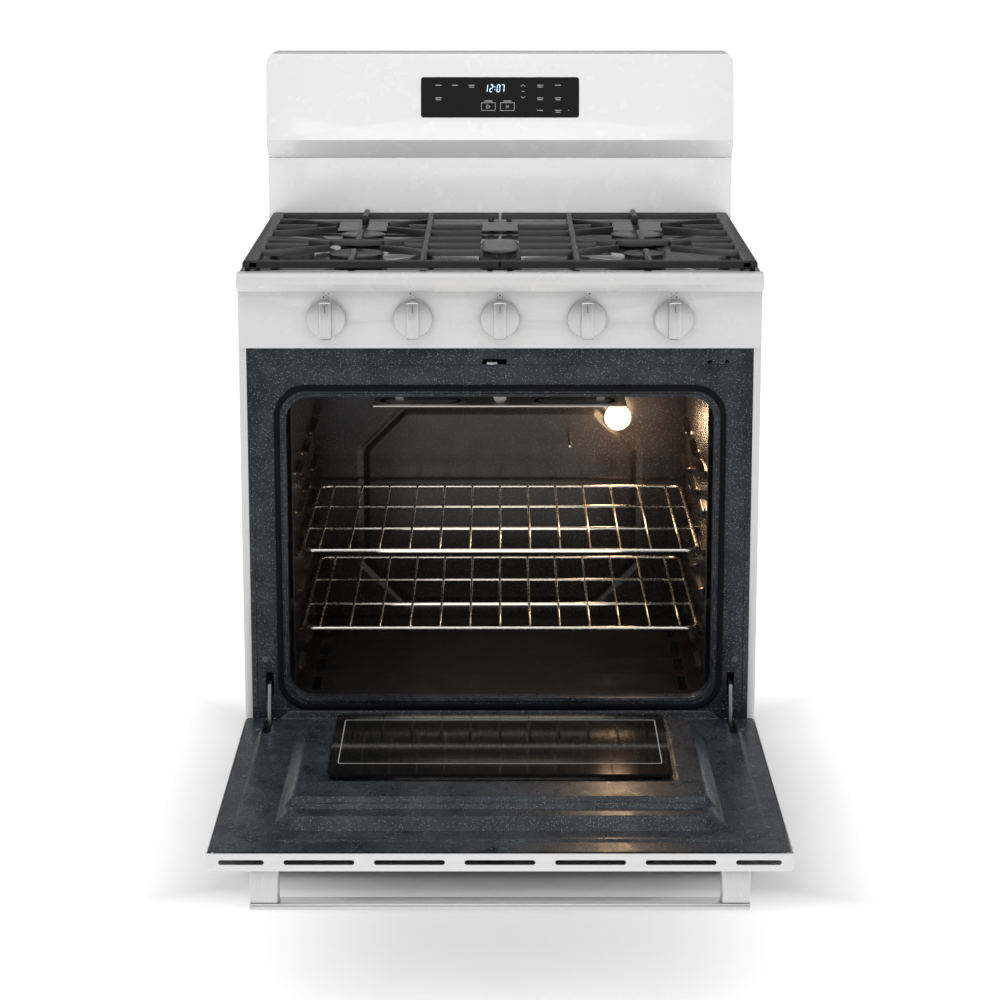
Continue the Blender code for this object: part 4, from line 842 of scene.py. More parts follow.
@dataclass
class Controls:
    """Front rail, control panel, burner icons and the five knobs."""

    shop: Workshop
    palette: Palette
    pitch: float = 0.1255
    height: float = 0.8490
    radius: float = 0.0280
    grip: float = 0.0190
    back: float = -0.0479
    skirt: float = -0.0564
    front: float = -0.0770

    def knob(self, number: int) -> None:
        """Build one knob: a turned skirt, a grip whose ends follow the skirt's circle, and an index line.

        Args:
            number: Its number from the left, 1 to 5.
        """
        x = (number - 3) * self.pitch
        centre = (x, 0.0, self.height)
        r = self.radius
        body = Form()
        skirt = [(0.004, self.back), (r - 0.0012, self.back), (r, self.back - 0.0012), (r, self.skirt + 0.0010)]
        skirt += [(r - 0.0004, self.skirt + 0.0003), (r - 0.0012, self.skirt), (0.004, self.skirt)]
        body.lathe(np.array(skirt), centre, Axis.Y, 96)
        angle = math.asin(self.grip / 2 / r)
        turn = np.linspace(-angle, angle, 15)
        cap = np.stack([np.sin(turn), np.cos(turn)], 1)
        end = np.concatenate([cap, -cap])
        rows = []
        for shrink, y in (
            (0.0, self.skirt + 0.002), (0.0, self.skirt - 0.001), (0.0003, self.front + 0.0012),
            (0.0007, self.front + 0.0005), (0.0016, self.front),
        ):
            wide = end * (r - 0.0004 - shrink * 1.6) * np.array([1 - shrink * 25, 1])
            rows.append(lay(wide[:, 1] + self.height, wide[:, 0] + x, np.full(len(wide), y), Axis.Y))
        body.grid(np.stack(rows))
        self.shop.fit(
            body, f"knob_body_{number}", self.palette.stainless, f"knob_{number}", "brushed_stainless",
            f"knob_{number}", sharp=35,
        )
        line = Form().block(
            (x - 0.0007, self.front - 0.00002, self.height + 0.0125),
            (x + 0.0007, self.front + 0.0006, self.height + 0.0235), 0.0002,
        )
        self.shop.fit(line, f"knob_index_{number}", self.palette.ink, f"knob_{number}", "brushed_stainless")

    def icons(self) -> None:
        """Print the five burner-place icons, four small dots and the middle one, one of them large."""
        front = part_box("control_panel")[0].y
        form = Form()
        places = ((-1, -1), (-1, 1), (0, 0), (1, 1), (1, -1))
        for number, chosen in enumerate(places):
            x = (number - 2) * self.pitch
            for dx, dz in places:
                r = 0.00135 if (dx, dz) == chosen else 0.00075
                disc = np.array([(r * 0.2, 0.0), (r, 0.0), (r, -0.0002), (r * 0.2, -0.0002)])
                form.lathe(disc, (x + dx * 0.0036, front + 0.0001, self.height + 0.0325 + dz * 0.0026), Axis.Y, 12)
        self.shop.fit(form, "burner_icons", self.palette.ink, "root", "white_enamel")

    def build(self) -> None:
        """Dress the rail and panel and build the knobs."""
        self.shop.keep("front_trim_rail", self.palette.white, 0.0008)
        self.shop.keep("control_panel", self.palette.white, 0.0006)
        for number in range(1, 6):
            self.shop.keep(f"valve_rotor_{number}", self.palette.brass, 0.0002)
            self.knob(number)
        self.icons()


@dataclass(frozen=True)
class Flame:
    """Size and place of one burner."""

    name: str
    x: float
    y: float
    radius: float
    stretch: float = 0.0


@dataclass
class Grate:
    """A cast grate over two burners: broad outer rail, end rails, spine, and bars that run on into fingers."""

    shop: Workshop
    palette: Palette
    side: str
    sign: int
    flames: tuple[Flame, ...]
    top: float = 0.9298
    depth: float = 0.0095
    bar: float = 0.0088
    rail: float = 0.0200
    end: float = 0.0117
    spine: float = 0.1120
    free: float = 0.0280
    root: float = 0.0700
    tip: float = 0.0400
    short: float = 0.0720
    spread: float = 0.0220
    tab: float = 0.0600
    rise: float = 0.0058
    cross: float = 0.2015

    def cast(self, form: Form, path: Array, wide: float, deep: float, blunt: bool = False) -> None:
        """Add a cast bar: a section with rounded shoulders that is narrower on top, shrunk at its ends.

        Args:
            form: The form that takes it.
            path: Middle line of its top.
            wide: Its width.
            deep: Its depth.
            blunt: Whether its ends keep their full size.
        """
        w = wide / 2
        section = np.array([
            (-w, -deep), (-w, -deep * 0.30), (-w * 0.90, -deep * 0.12), (-w * 0.66, -deep * 0.02), (0, 0),
            (w * 0.66, -deep * 0.02), (w * 0.90, -deep * 0.12), (w, -deep * 0.30), (w, -deep),
        ])
        size = np.ones(len(path))
        if not blunt:
            size[[0, -1]] = 0.62
        form.sweep(path, section, (0, 0, 1), scale=size)

    def line(self, *places: tuple[float, float], rise: float = 0.0) -> Array:
        """A path on the grate's top through places given as distance from the middle and y, with short end steps."""
        points = np.array([(self.sign * x, y, self.top + rise) for x, y in places])
        if len(points) > 2:
            points = bent(points, 0.022, 6)
        first = points[0] + (points[1] - points[0]) * (0.0022 / np.linalg.norm(points[1] - points[0]))
        last = points[-1] + (points[-2] - points[-1]) * (0.0022 / np.linalg.norm(points[-2] - points[-1]))
        return np.concatenate([points[:1], [first], points[1:-1], [last], points[-1:]])

    def build(self) -> None:
        """Cast the grate."""
        low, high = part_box("grate_" + self.side)
        outer = max(abs(low.x), abs(high.x)) - self.rail / 2
        form = Form()
        half = self.end / 2
        self.cast(form, self.line((outer, low.y), (outer, high.y)), self.rail, self.depth, True)
        for y in (low.y + half, high.y - half):
            self.cast(form, self.line((outer, y), (0.0018, y)), self.end, self.depth + 0.001, True)
        self.cast(form, self.line((self.spine, low.y + half), (self.spine, high.y - half)), self.bar, self.depth)
        self.cast(form, self.line((outer, self.cross), (self.spine, self.cross)), self.bar, self.depth)
        front, rear = (next(f for f in self.flames if f.name == f"{end}_{self.side}") for end in ("front", "rear"))
        for flame in (front, rear):
            x = abs(flame.x)
            for step in (-1, 0, 1):
                reach = self.tip if step else self.short
                y, end = flame.y + step * self.root, flame.y + step * self.spread
                inner = self.free
                if flame is rear and step == 1:
                    self.cast(form, self.line((self.spine, y), (x - reach, end)), self.bar, self.depth)
                else:
                    self.cast(form, self.line((inner, y), (self.spine, y), (x - reach, end)), self.bar, self.depth)
                self.cast(form, self.line((outer, y), (outer - 0.030, y), (x + reach, end)), self.bar, self.depth)
        x = abs(front.x)
        self.cast(form, self.line((x, low.y + half), (x, front.y - self.tab)), self.bar, self.depth)
        self.cast(form, self.line((x, self.cross), (x, rear.y - self.tab)), self.bar, self.depth)
        self.cast(
            form, self.line((x, high.y - 0.004), (x, rear.y + self.tab), rise=self.rise), self.bar,
            self.depth + self.rise,
        )
        for x in (outer + 0.003, 0.0145):
            for y in (low.y + 0.008, high.y - 0.008):
                ends = sorted((self.sign * (x - 0.0045), self.sign * (x + 0.0045)))
                form.block(
                    (ends[0], y - 0.0045, low.z), (ends[1], y + 0.0045, self.top - self.depth + 0.001), 0.0012, 0.002,
                )
        name = "grate_" + self.side
        self.shop.fit(form, name + "_casting", self.palette.iron, name, "cast_iron", name, sharp=50)


@dataclass
class Cooktop:
    """Recessed pan, five burners with their ported heads and caps, and the two cast grates."""

    shop: Workshop
    palette: Palette
    flames: tuple[Flame, ...] = (
        Flame("front_left", -0.217, 0.1585, 0.040), Flame("rear_left", -0.217, 0.3705, 0.033), Flame("centre", 0.0, 0.2385, 0.026, 0.044),
        Flame("rear_right", 0.217, 0.3705, 0.040), Flame("front_right", 0.217, 0.1585, 0.029),
    )
    head_low: float = 0.8838
    head_top: float = 0.9112
    cap_low: float = 0.9117
    cap_top: float = 0.9156
    floor: float = 0.8990

    def turned(self, flame: Flame, profile: Array, notch: Array | None = None, steps: int = 120) -> Form:
        """Turn a profile about a burner, drawn out along y by moving the halves apart.

        Args:
            flame: The burner.
            profile: Rows of radius and height.
            notch: Depth of the flame ports on each row, or None.
            steps: Points round a turn.

        Returns:
            The form.
        """
        angle = np.arange(steps) * 2 * np.pi / steps
        port = np.where(np.arange(steps) % 4 < 2, 1.0, 0.0)
        depth = np.zeros(len(profile)) if notch is None else notch
        radius = profile[:, :1] - depth[:, None] * port[None]
        x = flame.x + radius * np.cos(angle)
        shift = np.tanh(np.sin(angle) * 6) * flame.stretch * np.minimum(1, profile[:, :1] / flame.radius)
        y = flame.y + radius * np.sin(angle) + shift
        return Form().grid(np.stack(np.broadcast_arrays(x, y, profile[:, 1:2]), -1))

    def burner(self, flame: Flame) -> None:
        """Build a burner's head, with a ring of flame ports, and its domed cap."""
        r = flame.radius
        head = np.array([
            (r * 0.3, self.head_low), (r * 0.78, self.head_low), (r * 0.80, self.floor + 0.0005), (r + 0.006, self.floor + 0.0012),
            (r + 0.006, self.floor + 0.0032), (r + 0.001, self.floor + 0.0050), (r, self.head_top - 0.0062), (r, self.head_top - 0.0008), (r - 0.001, self.head_top), (r * 0.3, self.head_top),
        ])
        notch = np.array([0, 0, 0, 0, 0, 0, 0.0022, 0.0022, 0, 0])
        self.shop.fit(
            self.turned(flame, head, notch), "head_" + flame.name, self.palette.alloy, "root", "burner_alloy",
            "burner_head_" + flame.name, sharp=30,
        )
        cap = np.array([
            (r * 0.3, self.cap_low), (r + 0.0008, self.cap_low), (r + 0.0017, self.cap_low + 0.0006), (r + 0.0016, self.cap_top - 0.0013),
            (r - 0.0006, self.cap_top - 0.0003), (r * 0.8, self.cap_top), (r * 0.3, self.cap_top),
        ])
        name = "burner_cap_" + flame.name
        self.shop.fit(
            self.turned(flame, cap), "cap_" + flame.name, self.palette.cap, name, "black_enamel", name, sharp=50,
        )

    def build(self) -> None:
        """Build the burners and dress the pan."""
        self.shop.keep("cooktop_pan", self.palette.black, 0.0008)
        for flame in self.flames:
            self.burner(flame)
        for side, sign in (("left", -1), ("right", 1)):
            Grate(self.shop, self.palette, side, sign, self.flames).build()


@dataclass
class Rack:
    """A wire oven rack: a rounded outer wire, two cross rods and the ribs that rest on them."""

    shop: Workshop
    palette: Palette
    name: str
    ribs: int = 13
    wire: float = 0.0030
    rib: float = 0.0020

    def build(self) -> None:
        """Bend the wires inside the rack's CAD box."""
        low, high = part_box(self.name)
        middle, centre = low.z + self.wire, (low.y + high.y) / 2
        width, depth = high.x - low.x - 2 * self.wire, high.y - low.y - 2 * self.wire
        form = Form()
        flat = outline(width, depth, 0.020, 10, 12) + np.array([0.0, centre])
        form.wire(
            lay(flat[:, 0], flat[:, 1], np.full(len(flat), middle), Axis.Z), self.wire, (0, 0, 1), 12, closed=True,
        )
        for y in (low.y + depth * 0.33, low.y + depth * 0.67):
            form.wire(
                np.array([(low.x + 0.003, y, middle), (0.0, y, middle), (high.x - 0.003, y, middle)]),
                self.wire * 0.95, (0, 0, 1), 12,
            )
        top = high.z - self.rib
        for x in np.linspace(low.x + 0.028, high.x - 0.028, self.ribs):
            form.wire(
                np.array([(x, low.y + 0.0008, top), (x, centre, top), (x, high.y - 0.0008, top)]), self.rib,
                (0, 0, 1), 10,
            )
        self.shop.fit(form, self.name + "_wires", self.palette.chrome, self.name, "chrome_wire", self.name)


@dataclass
class Oven:
    """Enamelled front frame, door seal, liner, back wall, floor, broiler, lamp and probe."""

    shop: Workshop
    palette: Palette
    low: float = 0.276
    top: float = 0.732
    width: float = 0.624
    radius: float = 0.035
    levels: tuple[float, ...] = (0.306, 0.366, 0.426, 0.486, 0.546, 0.606)
    runs: tuple[tuple[float, float], ...] = ((0.020, 0.105), (0.165, 0.260), (0.320, 0.430))
    guide: float = 0.0095
    channel: tuple[float, float, float, float] = (0.449, 0.450, 0.330, 0.2267)

    def seal(self) -> None:
        """Carry a braided cord round the opening: its radius rises and falls as two crossing spirals of yarn."""
        low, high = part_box("oven_gasket")
        size = (high.y - low.y) / 2
        middle = (low.z + high.z) / 2
        flat = outline(high.x - low.x - 0.010, high.z - low.z - 0.010, 0.043, 60, 240)
        path = lay(flat[:, 1] + middle, flat[:, 0], np.full(len(flat), (low.y + high.y) / 2), Axis.Y)
        turn = np.arange(10) * 2 * np.pi / 10
        run = np.arange(len(path))[:, None]
        yarn = 1 - 0.05 + 0.05 * np.cos(run * np.pi / 2 + 2 * turn) * np.cos(run * np.pi / 2 - 2 * turn)
        ahead = np.roll(path, -1, 0) - np.roll(path, 1, 0)
        ahead /= np.linalg.norm(ahead, axis=1, keepdims=True)
        side = np.cross(ahead, (0.0, 1.0, 0.0))
        points = path[:, None] + side[:, None] * (yarn * 0.0045 * np.cos(turn))[..., None]
        points[..., 1] += yarn * size * 0.98 * np.sin(turn)
        form = Form().grid(points, ring=True)
        self.shop.fit(form, "door_seal", self.palette.gasket, "root", "gasket_braid", "oven_gasket")

    def front(self) -> None:
        """Dress the front frame and add its pressed bead, screws and bumpers."""
        self.shop.keep("oven_front_frame", self.palette.porcelain, 0.0008)
        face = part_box("oven_front_frame")[0].y
        screws = Form()
        head = np.array([
            (0.0006, 0.0012), (0.0042, 0.0012), (0.0042, 0.0004), (0.0030, 0.0001), (0.0012, 0.00005),
            (0.0006, 0.0005),
        ])
        for x in (-0.0325, 0.0290):
            screws.lathe(head, (x, face, 0.7842), Axis.Y, 20)
        self.shop.fit(screws, "latch_screws", self.palette.zinc, "root", "zinc_steel")
        bumps = Form()
        for x in (-0.3475, 0.3475):
            bumps.lathe(head * 1.1 - np.array([0.0, 0.0012]), (x, face, 0.336), Axis.Y, 20)
        self.shop.fit(bumps, "frame_screws", self.palette.ink, "root", "porcelain")
        turn = np.arange(8) * 2 * np.pi / 8
        bead = np.stack([0.0013 * np.cos(turn), 0.0009 * np.sin(turn)], 1)
        rounded = outline(0.721, 0.520, 0.016, 10, 30) + np.array([0.0, 0.5186])
        path = lay(rounded[:, 1], rounded[:, 0], np.full(len(rounded), face), Axis.Y)
        self.shop.fit(
            Form().sweep(path, bead, (0, 1, 0), closed=True), "frame_bead", self.palette.porcelain, "root",
            "porcelain",
        )
        mouth = outline(self.width + 0.008, self.top - self.low + 0.008, self.radius + 0.004, 16, 40)
        ring = lay(mouth[:, 1] + (self.top + self.low) / 2, mouth[:, 0], np.full(len(mouth), face - 0.0002), Axis.Y)
        self.shop.fit(
            Form().sweep(ring, bead * 1.3, (0, 1, 0), closed=True), "mouth_bead", self.palette.porcelain, "root",
            "porcelain",
        )
        self.shop.keep("latch_hook", self.palette.zinc, 0.0004)

    def rear(self) -> None:
        """Press a soft eight-sided channel into the back wall: its depth is a smooth step either side of the outline."""
        low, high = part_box("oven_back_wall")
        x = np.linspace(low.x, high.x, 150)
        z = np.linspace(low.z, high.z, 120)
        across, up = np.meshgrid(x, z)
        square = within(across, up, (0.0, self.channel[1]), (self.channel[0], self.channel[2]), 0.02)
        corner = (np.abs(across) + np.abs(up - self.channel[1])) / math.sqrt(2) - self.channel[3]
        ring = np.abs(np.maximum(square, corner)) - 0.0045
        depth = low.y + 0.0003 + ease(ring, 0.008) * 0.0030
        front = np.stack([across, depth, up], -1)
        back = front + np.array([0.0, high.y - low.y - 0.0003, 0.0])
        self.shop.fit(self.slab(front, back), "back_wall", self.palette.liner, "root", "porcelain", "oven_back_wall")

    def rim(self, grid: Array) -> Array:
        """The grid's edge points in order round it."""
        return np.concatenate([grid[0], grid[1:, -1], grid[-1, -2::-1], grid[-2:0:-1, 0]])

    def slab(self, front: Array, back: Array) -> Form:
        """Close two like grids of points into one plate.

        Args:
            front: Grid of the front face.
            back: Grid of the back face.

        Returns:
            The plate.
        """
        rows, columns = front.shape[:2]
        index = np.arange(rows * columns).reshape(rows, columns)
        quads = np.stack([index[:-1, :-1], index[:-1, 1:], index[1:, 1:], index[1:, :-1]], -1).reshape(-1, 4)
        edge = self.rim(index[..., None])[:, 0]
        count = rows * columns
        walls = np.stack([edge, np.roll(edge, -1), np.roll(edge, -1) + count, edge + count], -1)
        points = np.concatenate([front.reshape(-1, 3), back.reshape(-1, 3)])
        faces = np.concatenate([quads, quads[:, ::-1] + count, walls[:, ::-1]])
        a, b, c, d = (points[faces[:, k]] - points.mean(0) for k in range(4))
        volume = np.einsum("ij,ij->", a, np.cross(b, c)) + np.einsum("ij,ij->", a, np.cross(c, d))
        form = Form()
        form.points.append(points)
        form.faces += (faces if volume > 0 else faces[:, ::-1]).tolist()
        form.total = len(points)
        return form

    def liner(self) -> None:
        """Fold the liner over the oven: each row runs up one wall, across and down; rack guides are pressed out of
        the walls where a smooth step along the depth and another up the wall both hold."""
        low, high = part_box("oven_wrapper")
        half, corner = high.x, 0.016
        wall = np.linspace(low.z, high.z - corner, 190)
        turn = np.linspace(0, np.pi / 2, 8)[1:]
        bend = np.stack([half - corner + corner * np.cos(turn), high.z - corner + corner * np.sin(turn)], 1)
        right = np.concatenate([np.stack([np.full(len(wall), half), wall], 1), bend])
        outer = np.concatenate([right, right[::-1] * (-1, 1)])
        scale = np.array([(half - 0.0012) / half, 1.0])
        inner = outer * scale - np.array([0.0, 0.0012]) * (outer[:, 1:] > high.z - corner)
        y = np.linspace(low.y, high.y, 110)[:, None]
        z = inner[None, :, 1]
        press = np.zeros((len(y), len(inner)))
        for level in self.levels:
            up = ease(np.abs(z - level + 0.0045) - 0.0042, 0.0035)
            for start, end in self.runs:
                press = np.maximum(press, up * ease(np.abs(y - (start + end) / 2) - (end - start) / 2, 0.012))
        wide = np.abs(inner[None, :, 0]) > half - 0.0014
        shift = -np.sign(inner[None, :, 0]) * press * wide * self.guide
        face = np.stack(np.broadcast_arrays(inner[None, :, 0] + shift, y, z), -1)
        back = np.stack(np.broadcast_arrays(outer[None, :, 0] + shift * 0.999, y, outer[None, :, 1]), -1)
        self.shop.fit(
            self.slab(face, back), "oven_liner", self.palette.liner, "root", "porcelain", "oven_wrapper", sharp=60,
        )

    def broiler(self) -> None:
        """Lay dark slot marks with pale rims on the broil plate: the dark marks are painted shade standing in for its
        open slots.
        """
        low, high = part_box("broil_burner")
        self.shop.keep("broil_burner", self.palette.cream, 0.0006)
        top = low.z + 0.0020
        # The dark slot marks are painted shade: near-black discs laid on the plate where open slots would show shade.
        rims, slots = Form(), Form()
        for x in (-0.118, 0.111):
            for form, width, depth, rise in ((rims, 0.132, 0.050, 0.0010), (slots, 0.122, 0.040, 0.0013)):
                form.stack(
                    np.array([
                        (width, depth, depth / 2, top - 0.0003), (width, depth, depth / 2, top + rise),
                        (width - 0.002, depth - 0.002, depth / 2 - 0.001, top + rise + 0.0003),
                    ]),
                    Axis.Z, (x, low.y + 0.031), 14,
                )
            rims.stack(
                np.array([
                    (0.108, 0.027, 0.0135, top), (0.108, 0.027, 0.0135, top + 0.0022),
                    (0.104, 0.023, 0.0115, top + 0.0027),
                ]),
                Axis.Z, (x, low.y + 0.031), 14,
            )
        self.shop.fit(rims, "broil_rims", self.palette.cream, "root", "cream_enamel")
        self.shop.fit(slots, "broil_slot_shade", self.palette.hollow, "root", "black_enamel")

    def lamp(self) -> None:
        """Turn the lamp's glass dome and its metal collar."""
        low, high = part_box("oven_lamp")
        centre = ((low.x + high.x) / 2, 0.0, (low.z + high.z) / 2)
        r = (high.x - low.x) / 2
        turn = np.linspace(0.04, np.pi / 2, 12)
        dome = np.stack([(r - 0.002) * np.sin(turn), low.y + 0.016 - 0.016 * np.cos(turn)], 1)
        profile = np.concatenate([dome, [(r - 0.002, high.y - 0.004), (0.001, high.y - 0.004)]])
        self.shop.fit(
            Form().lathe(profile, centre, Axis.Y, 48), "lamp_dome", self.palette.lamp, "root", "lamp_glass",
            "oven_lamp",
        )
        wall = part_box("oven_back_wall")[0].y
        collar = np.array([
            (r - 0.0015, wall - 0.004), (r, wall - 0.004), (r, wall + 0.001), (r - 0.0015, wall + 0.001),
        ])
        turns = np.arange(48) * 2 * np.pi / 48
        ring = lay(
            collar[:, :1] * np.cos(turns), collar[:, :1] * np.sin(turns), np.repeat(collar[:, 1:], 48, 1), Axis.Y,
        ) + np.array(centre)
        self.shop.fit(Form().grid(ring, ring=True), "lamp_collar", self.palette.zinc, "root", "zinc_steel")

    def build(self) -> None:
        """Build the oven's pieces and dress the rest."""
        self.front()
        self.seal()
        self.rear()
        self.lamp()
        self.liner()
        self.broiler()
        self.shop.keep("oven_floor_panel", self.palette.liner, 0.0003)
        self.shop.keep("bake_burner", self.palette.zinc, 0.0004)
        self.shop.keep("temperature_probe", self.palette.probe, 0.0003)


@dataclass(frozen=True)
class Press:
    """A rounded rectangle pressed up or down in the door's inner sheet."""

    near: float
    far: float
    width: float
    radius: float
    rise: float
    slope: float


@dataclass
class Door:
    """Drop-down oven door: painted outer skin, stamped inner sheet, panes, screws, handle and posts."""

    shop: Workshop
    palette: Palette
    presses: tuple[Press, ...] = (
        Press(-0.5750, -0.0720, 0.706, 0.045, 0.0020, 0.006),
        Press(-0.5410, -0.1005, 0.596, 0.034, 0.0150, 0.020),
        Press(-0.4985, -0.1040, 0.572, 0.030, 0.0055, 0.012),
    )

    def height(self, x: Array, y: Array) -> Array:
        """Rise of the inner sheet over its flange: the sum of a smooth step for each pressing.

        Args:
            x: Coordinate across.
            y: Coordinate from back to front.

        Returns:
            The rise of each point.
        """
        total = np.zeros(np.broadcast_shapes(x.shape, y.shape))
        for press in self.presses:
            middle = (0.0, (press.near + press.far) / 2)
            size = (press.width - press.slope, press.far - press.near - press.slope)
            total += press.rise * ease(within(x, y, middle, size, press.radius), press.slope)
        pad = within(x, y, (0.0, -0.4425), (0.586, 0.067), 0.014)
        total += 0.0042 * ease(pad, 0.005)
        groove = within(x, y, (0.0, -0.4835), (0.560, 0.004), 0.002)
        total -= 0.0020 * ease(groove, 0.004)
        window = within(x, y, (0.0, -0.262), (0.480, 0.275), 0.014)
        total -= 0.0015 * ease(window, 0.006)
        for rib in (-0.1225, -0.1150, -0.1075):
            total += 0.0016 * ease(within(x, y, (0.0, rib), (0.480, 0.0025), 0.001), 0.004)
        heel = within(x, y, (0.0, -0.0510), (0.640, 0.0050), 0.002)
        total += 0.0120 * ease(heel, 0.005)
        for side in (-1, 1):
            notch = within(x, y, (side * 0.3415, -0.0800), (0.0100, 0.0900), 0.002)
            total -= 0.0175 * ease(notch, 0.0015)
        catch = within(x, y, (-0.0080, -0.5995), (0.036, 0.0110), 0.002)
        total -= 0.0115 * ease(catch, 0.002)
        return total

    def stamped(self) -> None:
        """Draw the inner sheet from the window's edge to the flange's edge, row by row, and lift it by its pressings."""
        low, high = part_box("door_inner_panel")
        inner = outline(0.458, 0.253, 0.010, 24, 96) + np.array([0.0, -0.262])
        outer = outline(high.x - low.x, high.y - low.y, 0.004, 24, 96) + np.array([0.0, (low.y + high.y) / 2])
        share = np.linspace(0, 1, 98)[:, None, None]
        flat = inner + (outer - inner) * share
        base = low.z + 0.0012
        rise = np.minimum(self.height(flat[..., 0], flat[..., 1]), high.z - base)
        rows = np.concatenate([flat, (base + rise)[..., None]], -1)
        form = Form().sheet(rows, np.array([0.0, 0.0, -0.0010]))
        self.shop.fit(form, "door_liner", self.palette.porcelain, "door", "porcelain", "door_inner_panel", sharp=60)

    def border(self) -> None:
        """Lay the thin pale frame line of the inner pane, a ring of two outlines."""
        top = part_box("door_inner_glass")[1].z
        rings = [outline(w, h, 0.004, 6, 20) + np.array([0.0, -0.2530]) for w, h in ((0.4450, 0.1930), (0.4474, 0.1954))]
        rows = [np.concatenate([ring, np.full((len(ring), 1), top - 0.0001 + rise)], 1) for rise, ring in ((0.0, rings[0]), (0.0004, rings[0]), (0.0004, rings[1]), (0.0, rings[1]))]
        self.shop.fit(
            Form().grid(np.stack(rows), ring=True), "pane_border", self.palette.pale_ink, "door", "window_glass",
        )

    def screws(self) -> None:
        """Sink dark screw heads along the flange."""
        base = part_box("door_inner_panel")[0].z + 0.0012
        form = Form()
        head = np.array([
            (0.0005, 0.0004), (0.0016, 0.0004), (0.0022, 0.0010), (0.0036, 0.0010), (0.0040, 0.0004),
            (0.0040, -0.0006), (0.0005, -0.0006),
        ])
        for x in (-0.355, 0.355):
            for y in (-0.105, -0.315, -0.520):
                form.lathe(head, (x, y, base), Axis.Z, 20)
        self.shop.fit(form, "door_screws", self.palette.ink, "door", "porcelain")

    def handle(self) -> None:
        """Carry a flat-faced section with rounded shoulders along the bar, and dress the posts."""
        low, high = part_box("door_handle_bar")
        form = Form()
        form.block(tuple(low), tuple(high), 0.0010, 0.0035, Axis.X)
        self.shop.fit(form, "handle_bar", self.palette.stainless, "door", "brushed_stainless", "door_handle_bar")
        for side in ("left", "right"):
            self.shop.keep("door_handle_post_" + side, self.palette.stainless, 0.0008)

    def build(self) -> None:
        """Build the door's pieces and dress the rest."""
        self.shop.keep("door_outer_panel", self.palette.white, 0.0006)
        self.shop.keep("door_inner_glass", self.palette.pane)
        self.shop.keep("door_outer_glass", self.palette.glass)
        for side in ("left", "right"):
            self.shop.keep("hinge_arm_" + side, self.palette.zinc, 0.0005)
        self.stamped()
        self.border()
        self.screws()
        self.handle()


@dataclass
class Drawer:
    """Storage drawer under the oven."""

    shop: Workshop
    palette: Palette

    def build(self) -> None:
        """Dress the front and the bin."""
        self.shop.keep("drawer_front", self.palette.white, 0.0006)
        self.shop.keep("drawer_box", self.palette.zinc, 0.0004)


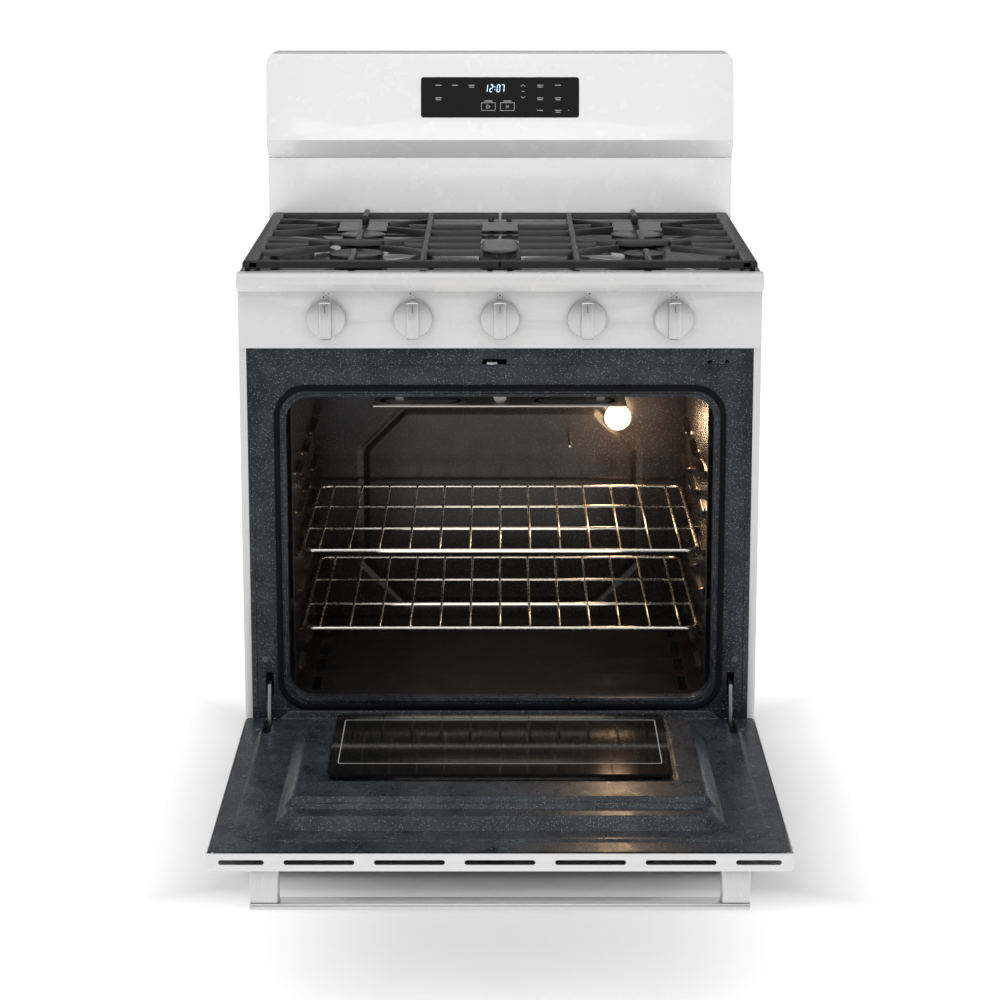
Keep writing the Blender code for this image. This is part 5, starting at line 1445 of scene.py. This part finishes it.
@dataclass
class Studio:
    """Floor, soft lights and the camera."""

    shop: Workshop
    palette: Palette
    distance: float = 3.937
    height: float = 1.506
    pitch: float = 11.60
    lens: float = 99.4
    shift: float = -0.080
    front: float = -0.0415

    def floor(self) -> None:
        """Lay a round pale floor whose rim rings lie closer together near the range."""
        radius = np.array([0.5, 1.0, 2.0, 4.0, 9.0, 20.0, 60.0])
        turn = np.arange(96) * 2 * np.pi / 96
        x, y = radius[:, None] * np.cos(turn), radius[:, None] * np.sin(turn) + 0.2
        top = np.stack([x, y, np.zeros_like(x)], -1)
        under = top[::-1] - np.array([0.0, 0.0, 0.01])
        piece = Form().grid(np.concatenate([top, under])).object("studio_floor")
        piece.data.materials.append(self.shop.material(self.palette.ground))

    def light(
        self, name: str, place: Place, aim: Place, size: float, power: float, colour: Colour = (1, 1, 1),
        flat: float = 0.0,
    ) -> None:
        """Hang a soft rectangular light.

        Args:
            name: Its name.
            place: Where it hangs.
            aim: Where it points.
            size: Its width.
            power: Its power in watts.
            colour: Its colour.
            flat: Its height, or nought for a square.
        """
        lamp = bpy.data.lights.new(name, "AREA")
        lamp.shape = "RECTANGLE"
        lamp.size, lamp.size_y, lamp.energy, lamp.color = size, flat or size, power, colour
        holder = bpy.data.objects.new(name, lamp)
        holder.location = place
        holder.rotation_mode = "QUATERNION"
        holder.rotation_quaternion = (Vector(aim) - Vector(place)).to_track_quat("-Z", "Y")
        bpy.context.scene.collection.objects.link(holder)

    def build(self) -> None:
        """Set the world, floor, lights and camera."""
        scene = bpy.context.scene
        scene.view_settings.view_transform = "Standard"
        world = bpy.data.worlds.new("studio")
        scene.world = world
        world.use_nodes = True
        world.node_tree.nodes["Background"].inputs["Color"].default_value = (1.0, 1.0, 1.0, 1.0)
        world.node_tree.nodes["Background"].inputs["Strength"].default_value = 0.35
        self.floor()
        self.light("backguard_light", (0.0, 0.0, 1.06), (0.0, 0.54, 1.04), 0.9, 1.9, flat=0.28)
        self.light("oven_light", (0.0, -0.006, 0.44), (0.0, 0.24, 0.72), 0.36, 0.6, (1.0, 0.93, 0.86))
        sun = bpy.data.lights.new("sky", "SUN")
        sun.energy, sun.angle = 1.6, math.radians(80)
        high = bpy.data.objects.new("sky", sun)
        high.rotation_euler = (math.radians(12), math.radians(-6), 0.0)
        scene.collection.objects.link(high)
        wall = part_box("oven_back_wall")[0].y
        bulb = bpy.data.lights.new("oven_bulb", "POINT")
        bulb.energy, bulb.color, bulb.shadow_soft_size = 1.1, (1.0, 0.66, 0.38), 0.030
        holder = bpy.data.objects.new("oven_bulb", bulb)
        holder.location = (0.193, wall - 0.05, 0.600)
        scene.collection.objects.link(holder)
        camera = bpy.data.cameras.new("camera")
        camera.lens, camera.shift_y, camera.clip_end = self.lens, self.shift, 200.0
        stand = bpy.data.objects.new("camera", camera)
        stand.location = (0.0, self.front - self.distance, self.height)
        stand.rotation_euler = (math.radians(90 - self.pitch), 0.0, 0.0)
        scene.collection.objects.link(stand)
        scene.camera = stand


def main() -> None:
    """Build every assembly in order."""
    logging.basicConfig(level=logging.INFO, format="%(name)s %(message)s")
    palette = Palette()
    shop = Workshop()
    Studio(shop, palette).build()
    Chassis(shop, palette).build()
    Backguard(shop, palette).build()
    Controls(shop, palette).build()
    Cooktop(shop, palette).build()
    Oven(shop, palette).build()
    for rack in ("rack_upper", "rack_lower"):
        Rack(shop, palette, rack).build()
    Door(shop, palette).build()
    Drawer(shop, palette).build()


if __name__ == "__main__":
    main()
